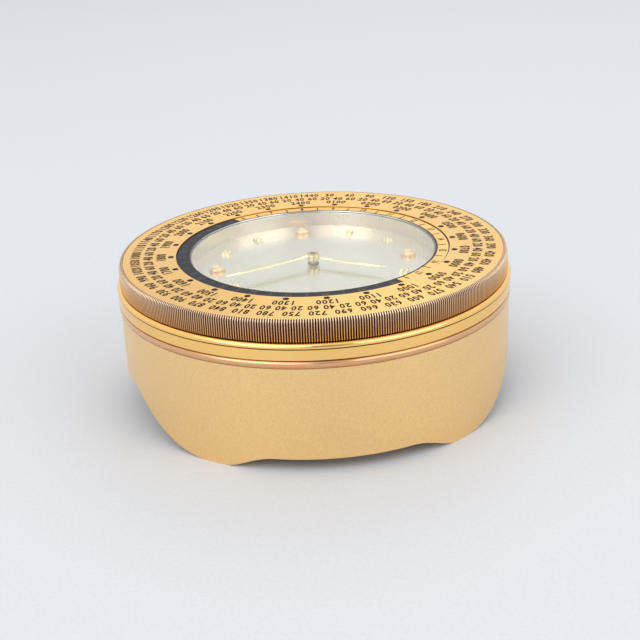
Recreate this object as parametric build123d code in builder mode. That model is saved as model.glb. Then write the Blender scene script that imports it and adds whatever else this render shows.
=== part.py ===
from build123d import *
import math
import os

os.makedirs("parts", exist_ok=True)

# A round desk clock that lies on its back: a brass drum on four feet, a turning knurled
# bezel with a printed ring, a day ring that turns once a day, and a wound movement.
# Millimetres, +Z up, the origin on the table below the middle, twelve o'clock towards -Y.

# Case heights, from the table up
case_height = 41.2
bezel_height = 5.8
bezel_gap = 0.2
band_height = 4.5
lip_height = 2.1
front_arch_rise = 3.5

# Case radii and walls
shoulder_radius = 54.9
band_step = 0.1
wall_step = 0.4
drum_wall = 2.0
shoulder_roll = 1.1
roll_side_share = 0.7
roll_edge_share = 0.3
roll_top_share = 0.4
seam_groove = 0.25
lip_round = 0.7
spigot_wall = 1.3
spigot_depth = 3.1
ledge_width = 6.2
ledge_thickness = 2.0

# Feet: where the arches start, ease and flatten, as shares of the wall's radius
front_arch_span_share = 0.555
front_arch_flat_share = 0.33
front_foot_ease_share = 0.055
side_arch_span_share = 0.781
side_arch_flat_share = 0.294
side_foot_ease_share = 0.184
arch_crown_ease_share = 0.092

# Bezel and the rings round the glass
knurl_step = 0.9
knurl_depth = 0.35
knurl_count = 160
bevel_width = 0.9
bevel_height = 1.3
bezel_web = 0.6
bezel_web_reach = 5.0
bezel_wall = 7.0
bezel_rail = 2.0
world_ring_thickness = 0.3
world_ring_inset = 0.3
wire_radius = 0.3
world_ring_width = 14.7
day_ring_width = 3.2
day_ring_thickness = 0.8
ring_gap = 0.2
skirt_wall = 1.2
skirt_foot = 0.9

# Glass, rehaut and dial
glass_thickness = 1.6
glass_bevel = 0.3
gasket_thickness = 0.2
gasket_width = 0.4
rehaut_lip = 0.27
rehaut_step = 0.2
rehaut_foot_step = 0.75
rehaut_taper = 0.4
rehaut_collar_width = 1.4
rehaut_collar_thickness = 0.6
dial_depth = 6.0
dial_margin = 0.8
dial_thickness = 0.6
dial_hole_radius = 1.25
washer_radius = 1.6
washer_thickness = 0.2
dial_pillar_radius = 1.2
dial_pin_radius = 0.5
dial_pin_length = 1.5
marker_margin = 6.58
large_marker_radius = 2.25
large_marker_height = 1.3
small_marker_height = 1.0
marker_lobes = 6
marker_lobe_share = 0.28
marker_lobe_drop = 0.3
stud_side = 1.1
stud_pitch = 1.35
stud_taper = 22

# Hands
hand_thickness = 0.25
hour_hand_gap = 4.9
hour_hand_width = 1.9
minute_hand_reach = 1.5
minute_hand_width = 2.0
hand_tip_width = 0.35
hand_root_width = 0.9
hand_belly_share = 0.45
hour_hand_lift = 1.85
hour_boss_drop = 0.55
hand_spacing = 0.7
hand_boss_radius = 1.8
nut_radius = 1.7
nut_height = 0.25
hour_hand_angle = 324.56
minute_hand_angle = 204.76

# Movement plates and posts
plate_thickness = 1.6
back_plate_thickness = 1.4
front_plate_gap = 1.2
back_plate_step = 3.0
motion_space = 4.6
plate_spacing = 10.4
pillar_radius = 2.0
pillar_margin = 4.0
pillar_bearings = (40, 130, 232, 322)
holder_screw_bearings = (20, 110, 200, 290)
case_post_radius = 1.9
case_post_bearings = (45, 135, 225, 315)
base_plate_thickness = 1.4
base_plate_gap = 0.8
ratchet_space = 2.6
screw_shank_radius = 0.9
screw_head_radius = 1.7
screw_head_height = 0.8
screw_bite = 4.0
holder_bite = 2.6

# Clearances and the overrun of cuts
running_fit = 0.05
loose_fit = 0.1
easy_fit = 0.3
overrun = 1.0

# Toothed wheels: tooth shares of the module and of the pitch, then counts and modules
addendum_share = 0.55
dedendum_share = 1.6
tooth_tip_share = 0.3
ring_teeth = 72
ring_pinion_teeth = 30
hour_drive_teeth = 24
transfer_teeth = 20
cannon_teeth = 8
minute_teeth = 24
minute_pinion_teeth = 8
hour_teeth = 32
barrel_teeth = 60
centre_pinion_teeth = 10
centre_teeth = 48
third_pinion_teeth = 6
third_teeth = 45
fourth_pinion_teeth = 6
fourth_teeth = 48
escape_pinion_teeth = 6
escape_teeth = 15
ratchet_teeth = 20
setting_teeth = 8
ring_gear_step = 1.1
barrel_module = 0.6
centre_module = 0.5
third_module = 0.45
fourth_module = 0.4
motion_module = 0.5
wheel_thickness = 0.6
leaf_height = 1.2
arbor_radius = 0.6
pivot_radius = 0.35
centre_arbor_radius = 0.45
cannon_wall = 0.25
hour_pipe_wall = 0.3
hour_hub_radius = 2.2
wheel_spokes = 5
spoke_angle = 8
hub_share = 0.3
rim_share = 0.86
transfer_post_radius = 0.8
transfer_sleeve_wall = 0.7

# Barrel, winding and setting work
barrel_wall = 0.9
barrel_height = 6.6
barrel_floor = 1.2
barrel_cover_thickness = 0.6
barrel_lift = 1.2
barrel_arbor_radius = 2.0
barrel_pivot_radius = 1.2
arbor_square = 2.4
spring_strip = 0.25
spring_turns = 5
spring_steps_per_turn = 16
ratchet_radius = 6.0
ratchet_thickness = 0.9
ratchet_tooth_depth = 0.8
ratchet_face_angle = 1
click_width = 1.6
click_reach = 3.2
click_gap = 0.2
click_spring_reach = 8.0
click_spring_width = 0.4
key_hub_radius = 3.2
key_socket_share = 0.43
key_span = 24.0
key_blade_thickness = 1.6
key_blade_share = 0.606
key_ground_gap = 2.4
knob_radius = 5.0
knob_height_share = 0.488
knob_flutes = 20
knob_flute_depth = 0.4
setting_arbor_radius = 0.75

# Escapement
escape_radius = 6.0
escape_thickness = 0.4
escape_tooth_depth = 1.6
hook_tip_share = 0.14
hook_back_share = 0.38
hook_foot_share = 0.86
pallet_distance = 8.0
pallet_clearance = 0.8
pallet_spread = 45
lever_length = 7.3
lever_width = 0.9
balance_distance = 9.4
balance_radius = 8.0
balance_rim = 1.1
balance_thickness = 0.9
balance_arm_width = 1.3
impulse_roller_radius = 1.3
collet_radius = 0.9
collet_height = 0.8
balance_lift = 1.8
hairspring_strip = 0.14
hairspring_turns = 5
hairspring_steps_per_turn = 12
hairspring_radius = 4.2
hairspring_width = 0.6
hairspring_lift = 0.8
cock_thickness = 1.2
cock_width = 5.0
cock_foot_radius = 2.6
cock_bearing = 100
cock_lift = 0.8
regulator_length = 7.5
regulator_width = 1.3
regulator_thickness = 0.4
regulator_bearing = 280
regulator_pin_radius = 0.2

# Bearings of the trains' centres, in degrees about the wheel before
barrel_bearing = 180
third_bearing = 0
fourth_bearing = 60
escape_bearing = 90
pallet_bearing = 155
balance_bearing = 168
minute_bearing = 90
setting_bearing = 135
click_bearing = 270
click_tip_bearing = 225
click_spring_bearing = 246
click_spring_foot_bearing = 262
transfer_bearing = 300
dial_pillar_bearings = (60, 150, 215)

# Heights worked out from the sizes above
bezel_bottom = case_height - bezel_height
shoulder_level = bezel_bottom - bezel_gap
seam_level = shoulder_level - band_height
lip_bottom = seam_level - lip_height
world_ring_bottom = case_height - world_ring_thickness
day_ring_top = world_ring_bottom - running_fit
day_ring_bottom = day_ring_top - day_ring_thickness
web_bottom = day_ring_bottom - bezel_web
glass_bottom = day_ring_top - glass_thickness
seat_level = glass_bottom - gasket_thickness
dial_top = case_height - dial_depth
dial_bottom = dial_top - dial_thickness
front_plate_top = dial_bottom - motion_space
front_plate_bottom = front_plate_top - plate_thickness
back_plate_top = front_plate_bottom - plate_spacing
back_plate_bottom = back_plate_top - back_plate_thickness
base_plate_top = back_plate_bottom - ratchet_space
base_plate_bottom = base_plate_top - base_plate_thickness
side_arch_rise = base_plate_bottom - base_plate_gap
ledge_top = base_plate_top + ledge_thickness
bezel_web_bottom = world_ring_bottom - bezel_web
rail_top = bezel_web_bottom - easy_fit
hour_hand_bottom = dial_top + hour_hand_lift
minute_hand_bottom = hour_hand_bottom + hand_spacing
hour_hand_top = hour_hand_bottom + hand_thickness
minute_hand_top = minute_hand_bottom + hand_thickness
hour_boss_bottom = hour_hand_bottom - hour_boss_drop
minute_boss_bottom = hour_hand_top + running_fit
nut_top = minute_hand_top + nut_height

# Radii worked out from the sizes above
band_radius = shoulder_radius - band_step
wall_radius = band_radius - wall_step
drum_bore = wall_radius - drum_wall
spigot_radius = drum_bore - loose_fit
ledge_radius = drum_bore - ledge_width
case_post_circle = ledge_radius + case_post_radius
front_plate_radius = ledge_radius - front_plate_gap
back_plate_radius = front_plate_radius - back_plate_step
pillar_circle_radius = back_plate_radius - pillar_margin
knurl_radius = shoulder_radius - knurl_step
bezel_bore_radius = knurl_radius - bezel_wall
ring_edge_radius = knurl_radius - bevel_width
world_ring_outer = ring_edge_radius - world_ring_inset
world_ring_inner = world_ring_outer - world_ring_width
day_ring_outer_radius = world_ring_inner - ring_gap
day_ring_inner_radius = day_ring_outer_radius - day_ring_width
ring_gear_radius = day_ring_outer_radius + ring_gear_step
skirt_outer = ring_gear_radius + skirt_wall
skirt_bottom = dial_bottom - skirt_foot
ring_module = 2 * ring_gear_radius / ring_teeth
tooth_rim_radius = skirt_outer + ring_module
flange_bore = tooth_rim_radius + easy_fit
rail_radius = bezel_bore_radius - running_fit
rehaut_lip_radius = day_ring_inner_radius - running_fit
rehaut_barrel_radius = rehaut_lip_radius + rehaut_step
rehaut_foot_radius = rehaut_barrel_radius + rehaut_foot_step
rehaut_collar_radius = rehaut_foot_radius + rehaut_collar_width
glass_seat_radius = rehaut_lip_radius - rehaut_lip
glass_radius = glass_seat_radius - running_fit
rehaut_top_radius = glass_seat_radius - gasket_width
rehaut_foot_bore = rehaut_top_radius - rehaut_taper
dial_radius = rehaut_foot_radius + dial_margin
marker_circle_radius = rehaut_foot_bore - marker_margin
hour_hand_length = marker_circle_radius - hour_hand_gap
minute_hand_length = marker_circle_radius + minute_hand_reach
dial_pillar_circle = (rehaut_foot_bore + rehaut_foot_radius) / 2
holder_screw_circle = (flange_bore + front_plate_radius) / 2

# Centre distances and modules that follow from them
transfer_distance = ring_gear_radius - ring_pinion_teeth * ring_module / 2
drive_module = 2 * transfer_distance / (hour_drive_teeth + transfer_teeth)
motion_distance = (cannon_teeth + minute_teeth) * motion_module / 2
hour_module = 2 * motion_distance / (minute_pinion_teeth + hour_teeth)


def polar(radius, bearing, centre=(0, 0)):
    """The point at a distance and a bearing in degrees from a centre."""
    angle = math.radians(bearing)
    return centre[0] + radius * math.cos(angle), centre[1] + radius * math.sin(angle)


def ring_of(radius, bearings, centre=(0, 0)):
    """Points at one distance from a centre, one for each bearing."""
    return [polar(radius, bearing, centre) for bearing in bearings]


def tooth_points(teeth, module, phase, inward=False):
    """Corners of a toothed rim: two at each tooth's tip and one at the foot of each space."""
    side = -1 if inward else 1
    tip = module * (teeth / 2 + side * addendum_share)
    root = module * (teeth / 2 - side * dedendum_share)
    half_tip = tooth_tip_share * 180 / teeth
    corners = []
    for tooth in range(teeth):
        middle = phase + 360 * tooth / teeth
        corners.append(polar(tip, middle - half_tip))
        corners.append(polar(tip, middle + half_tip))
        corners.append(polar(root, middle + 180 / teeth))
    return corners


def mesh_phase(phase, teeth, other_teeth, bearing):
    """The phase of a wheel whose teeth stand in the spaces of the wheel before it."""
    return bearing + 180 - (phase - bearing) * teeth / other_teeth - 180 / other_teeth


def turn_up(profile, centre=(0, 0), mode=Mode.ADD):
    """Turns a half-section of radius and height pairs about the upright line at a centre."""
    section = Plane(origin=(*centre, 0), x_dir=(1, 0, 0), z_dir=(0, -1, 0))
    with BuildSketch(section, mode=Mode.PRIVATE) as half:
        with BuildLine():
            Polyline(*profile, close=True)
        make_face()
    revolve(half.sketch, axis=Axis((*centre, 0), (0, 0, 1)), mode=mode)


def columns(spots, radius, low, high, mode=Mode.ADD):
    """Round columns, or holes, of one radius at each spot, between two heights."""
    with BuildSketch(Plane.XY.offset(low), mode=Mode.PRIVATE) as discs:
        with Locations(*spots):
            Circle(radius)
    extrude(discs.sketch, amount=high - low, mode=mode)


def outline(corners, low, high, centre=(0, 0), turn=0, mode=Mode.ADD):
    """Raises a closed outline between two heights, placed and turned about a centre."""
    bearing = math.radians(turn)
    flat = Plane(origin=(*centre, low), x_dir=(math.cos(bearing), math.sin(bearing), 0))
    with BuildSketch(flat, mode=Mode.PRIVATE) as face:
        with BuildLine():
            Polyline(*corners, close=True)
        make_face()
    extrude(face.sketch, amount=high - low, mode=mode)


def bar(start, end, width, low, high):
    """A flat bar with round ends between two points, raised between two heights."""
    middle = ((start[0] + end[0]) / 2, (start[1] + end[1]) / 2)
    turn = math.degrees(math.atan2(end[1] - start[1], end[0] - start[0]))
    with BuildSketch(Plane.XY.offset(low), mode=Mode.PRIVATE) as flat:
        with Locations(middle):
            SlotCenterToCenter(math.dist(start, end), width, rotation=turn)
    extrude(flat.sketch, amount=high - low)


def square_points(side):
    """Corners of a square about the origin."""
    half = side / 2
    return [(-half, -half), (half, -half), (half, half), (-half, half)]


def cross_out(radius, low, high, centre):
    """Opens a wheel between its hub and its rim, and leaves the spokes."""
    inner = radius * hub_share
    outer = radius * rim_share
    for spoke in range(wheel_spokes):
        start = 360 * spoke / wheel_spokes + spoke_angle
        end = 360 * (spoke + 1) / wheel_spokes - spoke_angle
        corners = [polar(inner, (start + end) / 2)]
        corners += [polar(outer, start), polar(outer, (start + end) / 2), polar(outer, end)]
        outline(corners, low - overrun, high + overrun, centre, mode=Mode.SUBTRACT)


def wheel_and_arbor(centre, leaves, leaf_module, leaf_phase, leaf_low, teeth, module, rim_low):
    """A train wheel on its arbor, with the pinion that drives it and a pivot at each end."""
    rim_high = rim_low + wheel_thickness
    outline(tooth_points(teeth, module, 0), rim_low, rim_high, centre)
    cross_out(teeth * module / 2, rim_low, rim_high, centre)
    outline(tooth_points(leaves, leaf_module, leaf_phase), leaf_low, leaf_low + leaf_height, centre)
    columns([centre], arbor_radius, back_plate_top + easy_fit, front_plate_bottom - easy_fit)
    columns([centre], pivot_radius, pivot_bottom, pivot_top)


def spiral_points(inner, outer, turns, steps, strip):
    """Both sides of a flat spiral strip, out along one side and back along the other."""
    count = turns * steps
    outward = []
    back = []
    for step in range(count + 1):
        radius = inner + (outer - inner) * step / count
        bearing = 360 * step / steps
        outward.append(polar(radius, bearing))
        back.append(polar(radius - strip, bearing))
    return outward + back[::-1]


def hand_points(length, width, boss):
    """A leaf-shaped hand along the first axis, from inside its boss to its tip."""
    belly = length * hand_belly_share
    upper = [
        (boss / 2, hand_root_width / 2),
        (belly, width / 2),
        (length, hand_tip_width / 2),
    ]
    return upper + [(x, -y) for x, y in reversed(upper)]


# Centres of the wheels
barrel_centre = polar(
    (barrel_teeth + centre_pinion_teeth) * barrel_module / 2, barrel_bearing
)
third_centre = polar((centre_teeth + third_pinion_teeth) * centre_module / 2, third_bearing)
fourth_centre = polar(
    (third_teeth + fourth_pinion_teeth) * third_module / 2, fourth_bearing, third_centre
)
escape_centre = polar(
    (fourth_teeth + escape_pinion_teeth) * fourth_module / 2, escape_bearing, fourth_centre
)
pallet_centre = polar(pallet_distance, pallet_bearing, escape_centre)
balance_centre = polar(balance_distance, balance_bearing, pallet_centre)
cock_foot = polar(
    balance_radius + cock_foot_radius + easy_fit * 2, cock_bearing, balance_centre
)
click_pivot = polar(ratchet_radius + click_reach, click_bearing, barrel_centre)
click_tip = polar(ratchet_radius + click_width / 2 + click_gap, click_tip_bearing, barrel_centre)
click_spring_tip = polar(ratchet_radius + click_reach, click_spring_bearing, barrel_centre)
click_spring_foot = polar(
    ratchet_radius + click_spring_reach, click_spring_foot_bearing, barrel_centre
)
minute_centre = polar(motion_distance, minute_bearing)
setting_centre = polar(
    (minute_teeth + setting_teeth) * motion_module / 2, setting_bearing, minute_centre
)
transfer_centre = polar(transfer_distance, transfer_bearing)

# Phases that put every pair in mesh at rest
centre_pinion_phase = mesh_phase(0, barrel_teeth, centre_pinion_teeth, 0)
third_pinion_phase = mesh_phase(0, centre_teeth, third_pinion_teeth, third_bearing)
fourth_pinion_phase = mesh_phase(0, third_teeth, fourth_pinion_teeth, fourth_bearing)
escape_pinion_phase = mesh_phase(0, fourth_teeth, escape_pinion_teeth, escape_bearing)
minute_phase = mesh_phase(0, cannon_teeth, minute_teeth, minute_bearing)
setting_phase = mesh_phase(minute_phase, minute_teeth, setting_teeth, setting_bearing)
hour_phase = mesh_phase(0, minute_pinion_teeth, hour_teeth, minute_bearing + 180)
transfer_phase = mesh_phase(0, hour_drive_teeth, transfer_teeth, transfer_bearing)
ring_phase = transfer_bearing - transfer_bearing * ring_pinion_teeth / ring_teeth
ring_phase = ring_phase + 180 / ring_teeth

# Levels of the wheels
barrel_bottom = back_plate_top + barrel_lift
barrel_top = barrel_bottom + barrel_height
rim_top = barrel_bottom + barrel_floor
cover_top = barrel_top + barrel_cover_thickness
centre_wheel_bottom = cover_top + wheel_thickness
third_wheel_bottom = back_plate_top + plate_spacing / 2
third_wheel_top = third_wheel_bottom + wheel_thickness
fourth_wheel_bottom = third_wheel_top + leaf_height
escape_wheel_bottom = third_wheel_bottom - leaf_height
escape_wheel_top = escape_wheel_bottom + escape_thickness
motion_bottom = front_plate_top + easy_fit
minute_wheel_top = motion_bottom + wheel_thickness
cannon_leaf_top = minute_wheel_top + ring_gap
hour_wheel_bottom = cannon_leaf_top + easy_fit
hour_wheel_top = hour_wheel_bottom + wheel_thickness
minute_pinion_top = hour_wheel_top + ring_gap
hour_drive_bottom = minute_pinion_top + easy_fit
hour_drive_top = hour_drive_bottom + wheel_thickness
ring_pinion_top = dial_bottom - easy_fit
pivot_bottom = back_plate_bottom + loose_fit
pivot_top = front_plate_top - loose_fit
ratchet_top = back_plate_bottom - easy_fit
ratchet_bottom = ratchet_top - ratchet_thickness
key_top = base_plate_bottom - easy_fit
knob_top = base_plate_bottom - easy_fit
key_blade_height = (key_top - key_ground_gap) * key_blade_share
key_hub_bottom = key_ground_gap + key_blade_height / 2
key_socket_depth = (key_top - key_hub_bottom) * key_socket_share
knob_height = knob_top * knob_height_share
balance_bottom = back_plate_top + balance_lift
balance_top = balance_bottom + balance_thickness
hairspring_bottom = escape_wheel_top + hairspring_lift
hairspring_top = hairspring_bottom + hairspring_width
cock_bottom = hairspring_top + cock_lift
cock_top = cock_bottom + cock_thickness
regulator_bottom = cock_top + running_fit
regulator_top = regulator_bottom + regulator_thickness

cannon_bore = centre_arbor_radius + running_fit
cannon_radius = cannon_bore + cannon_wall
hour_pipe_bore = cannon_radius + running_fit
hour_pipe_radius = hour_pipe_bore + hour_pipe_wall
transfer_sleeve_radius = transfer_post_radius + running_fit + transfer_sleeve_wall
barrel_inner = barrel_module * (barrel_teeth / 2 - dedendum_share) - barrel_wall
barrel_radius = barrel_inner + barrel_wall
train_spots = [third_centre, fourth_centre, escape_centre, pallet_centre]
pillar_spots = ring_of(pillar_circle_radius, pillar_bearings)
holder_spots = ring_of(holder_screw_circle, holder_screw_bearings)
case_post_spots = ring_of(case_post_circle, case_post_bearings)
dial_pillar_spots = ring_of(dial_pillar_circle, dial_pillar_bearings)

# Drum: the satin wall, its polished lip, the inner ledge and the arches between its feet
with BuildPart() as case_drum:
    turn_up(
        [
            (drum_bore, 0),
            (wall_radius, 0),
            (wall_radius, lip_bottom),
            (band_radius - wall_step / 2, lip_bottom),
            (band_radius, lip_bottom + lip_round),
            (band_radius, seam_level - lip_round),
            (band_radius - seam_groove, seam_level),
            (drum_bore, seam_level),
            (drum_bore, ledge_top),
            (ledge_radius, ledge_top),
            (ledge_radius, base_plate_top),
            (drum_bore, base_plate_top),
        ]
    )
    for arch_plane, rise, span_share, flat_share, ease_share in (
        (
            Plane.XZ,
            front_arch_rise,
            front_arch_span_share,
            front_arch_flat_share,
            front_foot_ease_share,
        ),
        (
            Plane.YZ,
            side_arch_rise,
            side_arch_span_share,
            side_arch_flat_share,
            side_foot_ease_share,
        ),
    ):
        foot_end = wall_radius * span_share
        flat_end = wall_radius * flat_share
        foot_ease_end = foot_end - wall_radius * ease_share
        crown_ease_end = flat_end + wall_radius * arch_crown_ease_share
        with BuildSketch(arch_plane, mode=Mode.PRIVATE) as arch:
            with BuildLine():
                left_curve = Bezier(
                    (-foot_end, 0), (-foot_ease_end, 0), (-crown_ease_end, rise), (-flat_end, rise)
                )
                Line(left_curve @ 1, (flat_end, rise))
                right_curve = Bezier(
                    (flat_end, rise), (crown_ease_end, rise), (foot_ease_end, 0), (foot_end, 0)
                )
                Line(right_curve @ 1, left_curve @ 0)
            make_face()
        extrude(arch.sketch, amount=shoulder_radius, both=True, mode=Mode.SUBTRACT)
    columns(
        case_post_spots,
        screw_shank_radius + loose_fit,
        base_plate_top - overrun,
        ledge_top + overrun,
        Mode.SUBTRACT,
    )

# Base plate: closes the drum above the arches, with holes for the key and the knob
with BuildPart() as base_plate:
    columns([(0, 0)], drum_bore - loose_fit, base_plate_bottom, base_plate_top)
    columns(
        [barrel_centre],
        barrel_arbor_radius + easy_fit,
        base_plate_bottom - overrun,
        base_plate_top + overrun,
        Mode.SUBTRACT,
    )
    columns(
        [setting_centre],
        setting_arbor_radius + easy_fit,
        base_plate_bottom - overrun,
        base_plate_top + overrun,
        Mode.SUBTRACT,
    )
    columns(
        case_post_spots,
        screw_shank_radius + loose_fit,
        base_plate_bottom - overrun,
        base_plate_top + overrun,
        Mode.SUBTRACT,
    )

# Posts that stand on the ledge and carry the case ring
with BuildPart() as case_posts:
    columns(case_post_spots, case_post_radius, ledge_top, front_plate_top)
    columns(
        case_post_spots,
        screw_shank_radius + running_fit,
        ledge_top - overrun,
        ledge_top + screw_bite + running_fit,
        Mode.SUBTRACT,
    )
    columns(
        case_post_spots,
        screw_shank_radius + running_fit,
        front_plate_top - screw_bite - running_fit,
        front_plate_top + overrun,
        Mode.SUBTRACT,
    )

# Screws under the base plate, through the ledge and into the posts
with BuildPart() as base_screws:
    columns(
        case_post_spots,
        screw_head_radius,
        base_plate_bottom - screw_head_height,
        base_plate_bottom,
    )
    columns(case_post_spots, screw_shank_radius, base_plate_bottom, ledge_top + screw_bite)

# Screws in the case ring's top face, down into the posts
with BuildPart() as case_screws:
    columns(
        case_post_spots,
        screw_head_radius,
        shoulder_level - screw_head_height,
        shoulder_level,
    )
    columns(
        case_post_spots,
        screw_shank_radius,
        front_plate_top - screw_bite,
        shoulder_level - screw_head_height,
    )

# Case ring: the polished shoulder and band, the rail the bezel turns on, the inner flange
with BuildPart() as case_ring:
    turn_up(
        [
            (flange_bore, front_plate_top),
            (spigot_radius - spigot_wall, front_plate_top),
            (spigot_radius - spigot_wall, seam_level - spigot_depth),
            (spigot_radius, seam_level - spigot_depth),
            (spigot_radius, seam_level),
            (band_radius - seam_groove, seam_level),
            (band_radius, seam_level + seam_groove),
            (band_radius, shoulder_level - shoulder_roll),
            (shoulder_radius, shoulder_level - shoulder_roll * roll_side_share),
            (shoulder_radius, shoulder_level - shoulder_roll * roll_edge_share),
            (shoulder_radius - shoulder_roll * roll_top_share, shoulder_level),
            (rail_radius, shoulder_level),
            (rail_radius, rail_top),
            (rail_radius - bezel_rail, rail_top),
            (rail_radius - bezel_rail, skirt_bottom),
            (flange_bore, skirt_bottom),
        ]
    )
    wire_level = (shoulder_level + rail_top) / 2
    groove_half = wire_radius + loose_fit
    turn_up(
        [
            (rail_radius - groove_half, wire_level - groove_half),
            (rail_radius + overrun, wire_level - groove_half),
            (rail_radius + overrun, wire_level + groove_half),
            (rail_radius - groove_half, wire_level + groove_half),
        ],
        mode=Mode.SUBTRACT,
    )
    columns(
        case_post_spots,
        screw_head_radius + running_fit,
        shoulder_level - screw_head_height,
        shoulder_level + overrun,
        Mode.SUBTRACT,
    )
    columns(
        case_post_spots,
        screw_shank_radius + running_fit,
        front_plate_top - overrun,
        shoulder_level,
        Mode.SUBTRACT,
    )
    columns(
        holder_spots,
        screw_shank_radius + running_fit,
        front_plate_top - overrun,
        front_plate_top + holder_bite + loose_fit,
        Mode.SUBTRACT,
    )

# Spring wire that keeps the bezel on its rail
with BuildPart() as bezel_wire:
    turn_up(
        [
            (rail_radius - wire_radius, wire_level - wire_radius),
            (rail_radius + wire_radius, wire_level - wire_radius),
            (rail_radius + wire_radius, wire_level + wire_radius),
            (rail_radius - wire_radius, wire_level + wire_radius),
        ]
    )

# Bezel: a ring with a straight knurl and a bevel, turned by hand
with BuildPart() as bezel:
    knurl_corners = []
    for ridge in range(knurl_count):
        knurl_corners.append(polar(knurl_radius, 360 * ridge / knurl_count))
        knurl_corners.append(polar(knurl_radius - knurl_depth, 360 * (ridge + 0.5) / knurl_count))
    outline(knurl_corners, bezel_bottom, case_height - bevel_height)
    turn_up(
        [
            (0, case_height - bevel_height),
            (knurl_radius - knurl_depth, case_height - bevel_height),
            (ring_edge_radius, case_height),
            (0, case_height),
        ]
    )
    turn_up(
        [
            (0, bezel_bottom - overrun),
            (bezel_bore_radius, bezel_bottom - overrun),
            (bezel_bore_radius, bezel_web_bottom),
            (bezel_bore_radius - bezel_web_reach, bezel_web_bottom),
            (bezel_bore_radius - bezel_web_reach, world_ring_bottom),
            (world_ring_outer + loose_fit, world_ring_bottom),
            (world_ring_outer + loose_fit, case_height + overrun),
            (0, case_height + overrun),
        ],
        mode=Mode.SUBTRACT,
    )
    turn_up(
        [
            (bezel_bore_radius - overrun, wire_level - groove_half),
            (bezel_bore_radius + groove_half, wire_level - groove_half),
            (bezel_bore_radius + groove_half, wire_level + groove_half),
            (bezel_bore_radius - overrun, wire_level + groove_half),
        ],
        mode=Mode.SUBTRACT,
    )

# Printed ring that turns with the bezel
with BuildPart() as world_ring:
    columns([(0, 0)], world_ring_outer, world_ring_bottom, case_height)
    columns(
        [(0, 0)], world_ring_inner, world_ring_bottom - overrun, case_height + overrun, Mode.SUBTRACT
    )

# Day ring: the flat ring of hours that turns once a day
with BuildPart() as day_ring:
    columns([(0, 0)], day_ring_outer_radius, day_ring_bottom, day_ring_top)
    columns(
        [(0, 0)],
        day_ring_inner_radius,
        day_ring_bottom - overrun,
        day_ring_top + overrun,
        Mode.SUBTRACT,
    )

# Day ring's carrier: a web that runs on the rehaut and a skirt with teeth inside its foot
with BuildPart() as day_ring_carrier:
    turn_up(
        [
            (rehaut_barrel_radius + running_fit, web_bottom),
            (ring_gear_radius, web_bottom),
            (ring_gear_radius, dial_bottom + easy_fit),
            (ring_gear_radius - skirt_wall / 2, dial_bottom + easy_fit),
            (ring_gear_radius - skirt_wall / 2, dial_bottom),
            (skirt_outer, dial_bottom),
            (skirt_outer, day_ring_bottom),
            (rehaut_barrel_radius + running_fit, day_ring_bottom),
        ]
    )
    columns([(0, 0)], tooth_rim_radius, skirt_bottom, dial_bottom)
    outline(
        tooth_points(ring_teeth, ring_module, ring_phase, inward=True),
        skirt_bottom - overrun,
        dial_bottom + overrun,
        mode=Mode.SUBTRACT,
    )

# Rehaut: the polished slope round the dial, with the seat of the glass and a collar
with BuildPart() as rehaut:
    turn_up(
        [
            (rehaut_foot_bore, dial_top),
            (rehaut_top_radius, seat_level),
            (glass_seat_radius, seat_level),
            (glass_seat_radius, day_ring_top),
            (rehaut_lip_radius, day_ring_top),
            (rehaut_lip_radius, day_ring_bottom - loose_fit),
            (rehaut_barrel_radius, day_ring_bottom - loose_fit),
            (rehaut_barrel_radius, web_bottom - loose_fit),
            (rehaut_collar_radius, web_bottom - loose_fit),
            (rehaut_collar_radius, web_bottom - loose_fit - rehaut_collar_thickness),
            (rehaut_foot_radius, web_bottom - loose_fit - rehaut_collar_thickness),
            (rehaut_foot_radius, dial_top),
        ]
    )
    columns(
        dial_pillar_spots,
        dial_pin_radius + running_fit,
        dial_top - overrun,
        dial_bottom + dial_pin_length + loose_fit,
        Mode.SUBTRACT,
    )

# Flat glass with a small bevel, and the gasket it sits on
with BuildPart() as crystal:
    turn_up(
        [
            (0, glass_bottom),
            (glass_radius, glass_bottom),
            (glass_radius, day_ring_top - glass_bevel),
            (glass_radius - glass_bevel, day_ring_top),
            (0, day_ring_top),
        ]
    )
with BuildPart() as crystal_gasket:
    turn_up(
        [
            (glass_radius - gasket_width, seat_level),
            (glass_radius, seat_level),
            (glass_radius, glass_bottom),
            (glass_radius - gasket_width, glass_bottom),
        ]
    )

# Dial: a thin disc on three pillars, with a washer round the hands' pipe
with BuildPart() as dial:
    columns([(0, 0)], dial_radius, dial_bottom, dial_top)
    columns([(0, 0)], dial_hole_radius, dial_bottom - overrun, dial_top + overrun, Mode.SUBTRACT)
    columns(
        dial_pillar_spots,
        dial_pin_radius + running_fit,
        dial_bottom - overrun,
        dial_top + overrun,
        Mode.SUBTRACT,
    )
with BuildPart() as dial_washer:
    columns([(0, 0)], washer_radius, dial_top, dial_top + washer_thickness)
    columns(
        [(0, 0)],
        hour_pipe_radius + loose_fit,
        dial_top - overrun,
        dial_top + washer_thickness + overrun,
        Mode.SUBTRACT,
    )
with BuildPart() as dial_pillars:
    columns(dial_pillar_spots, dial_pillar_radius, front_plate_top, dial_bottom)
    columns(dial_pillar_spots, dial_pin_radius, dial_bottom, dial_bottom + dial_pin_length)

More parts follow.
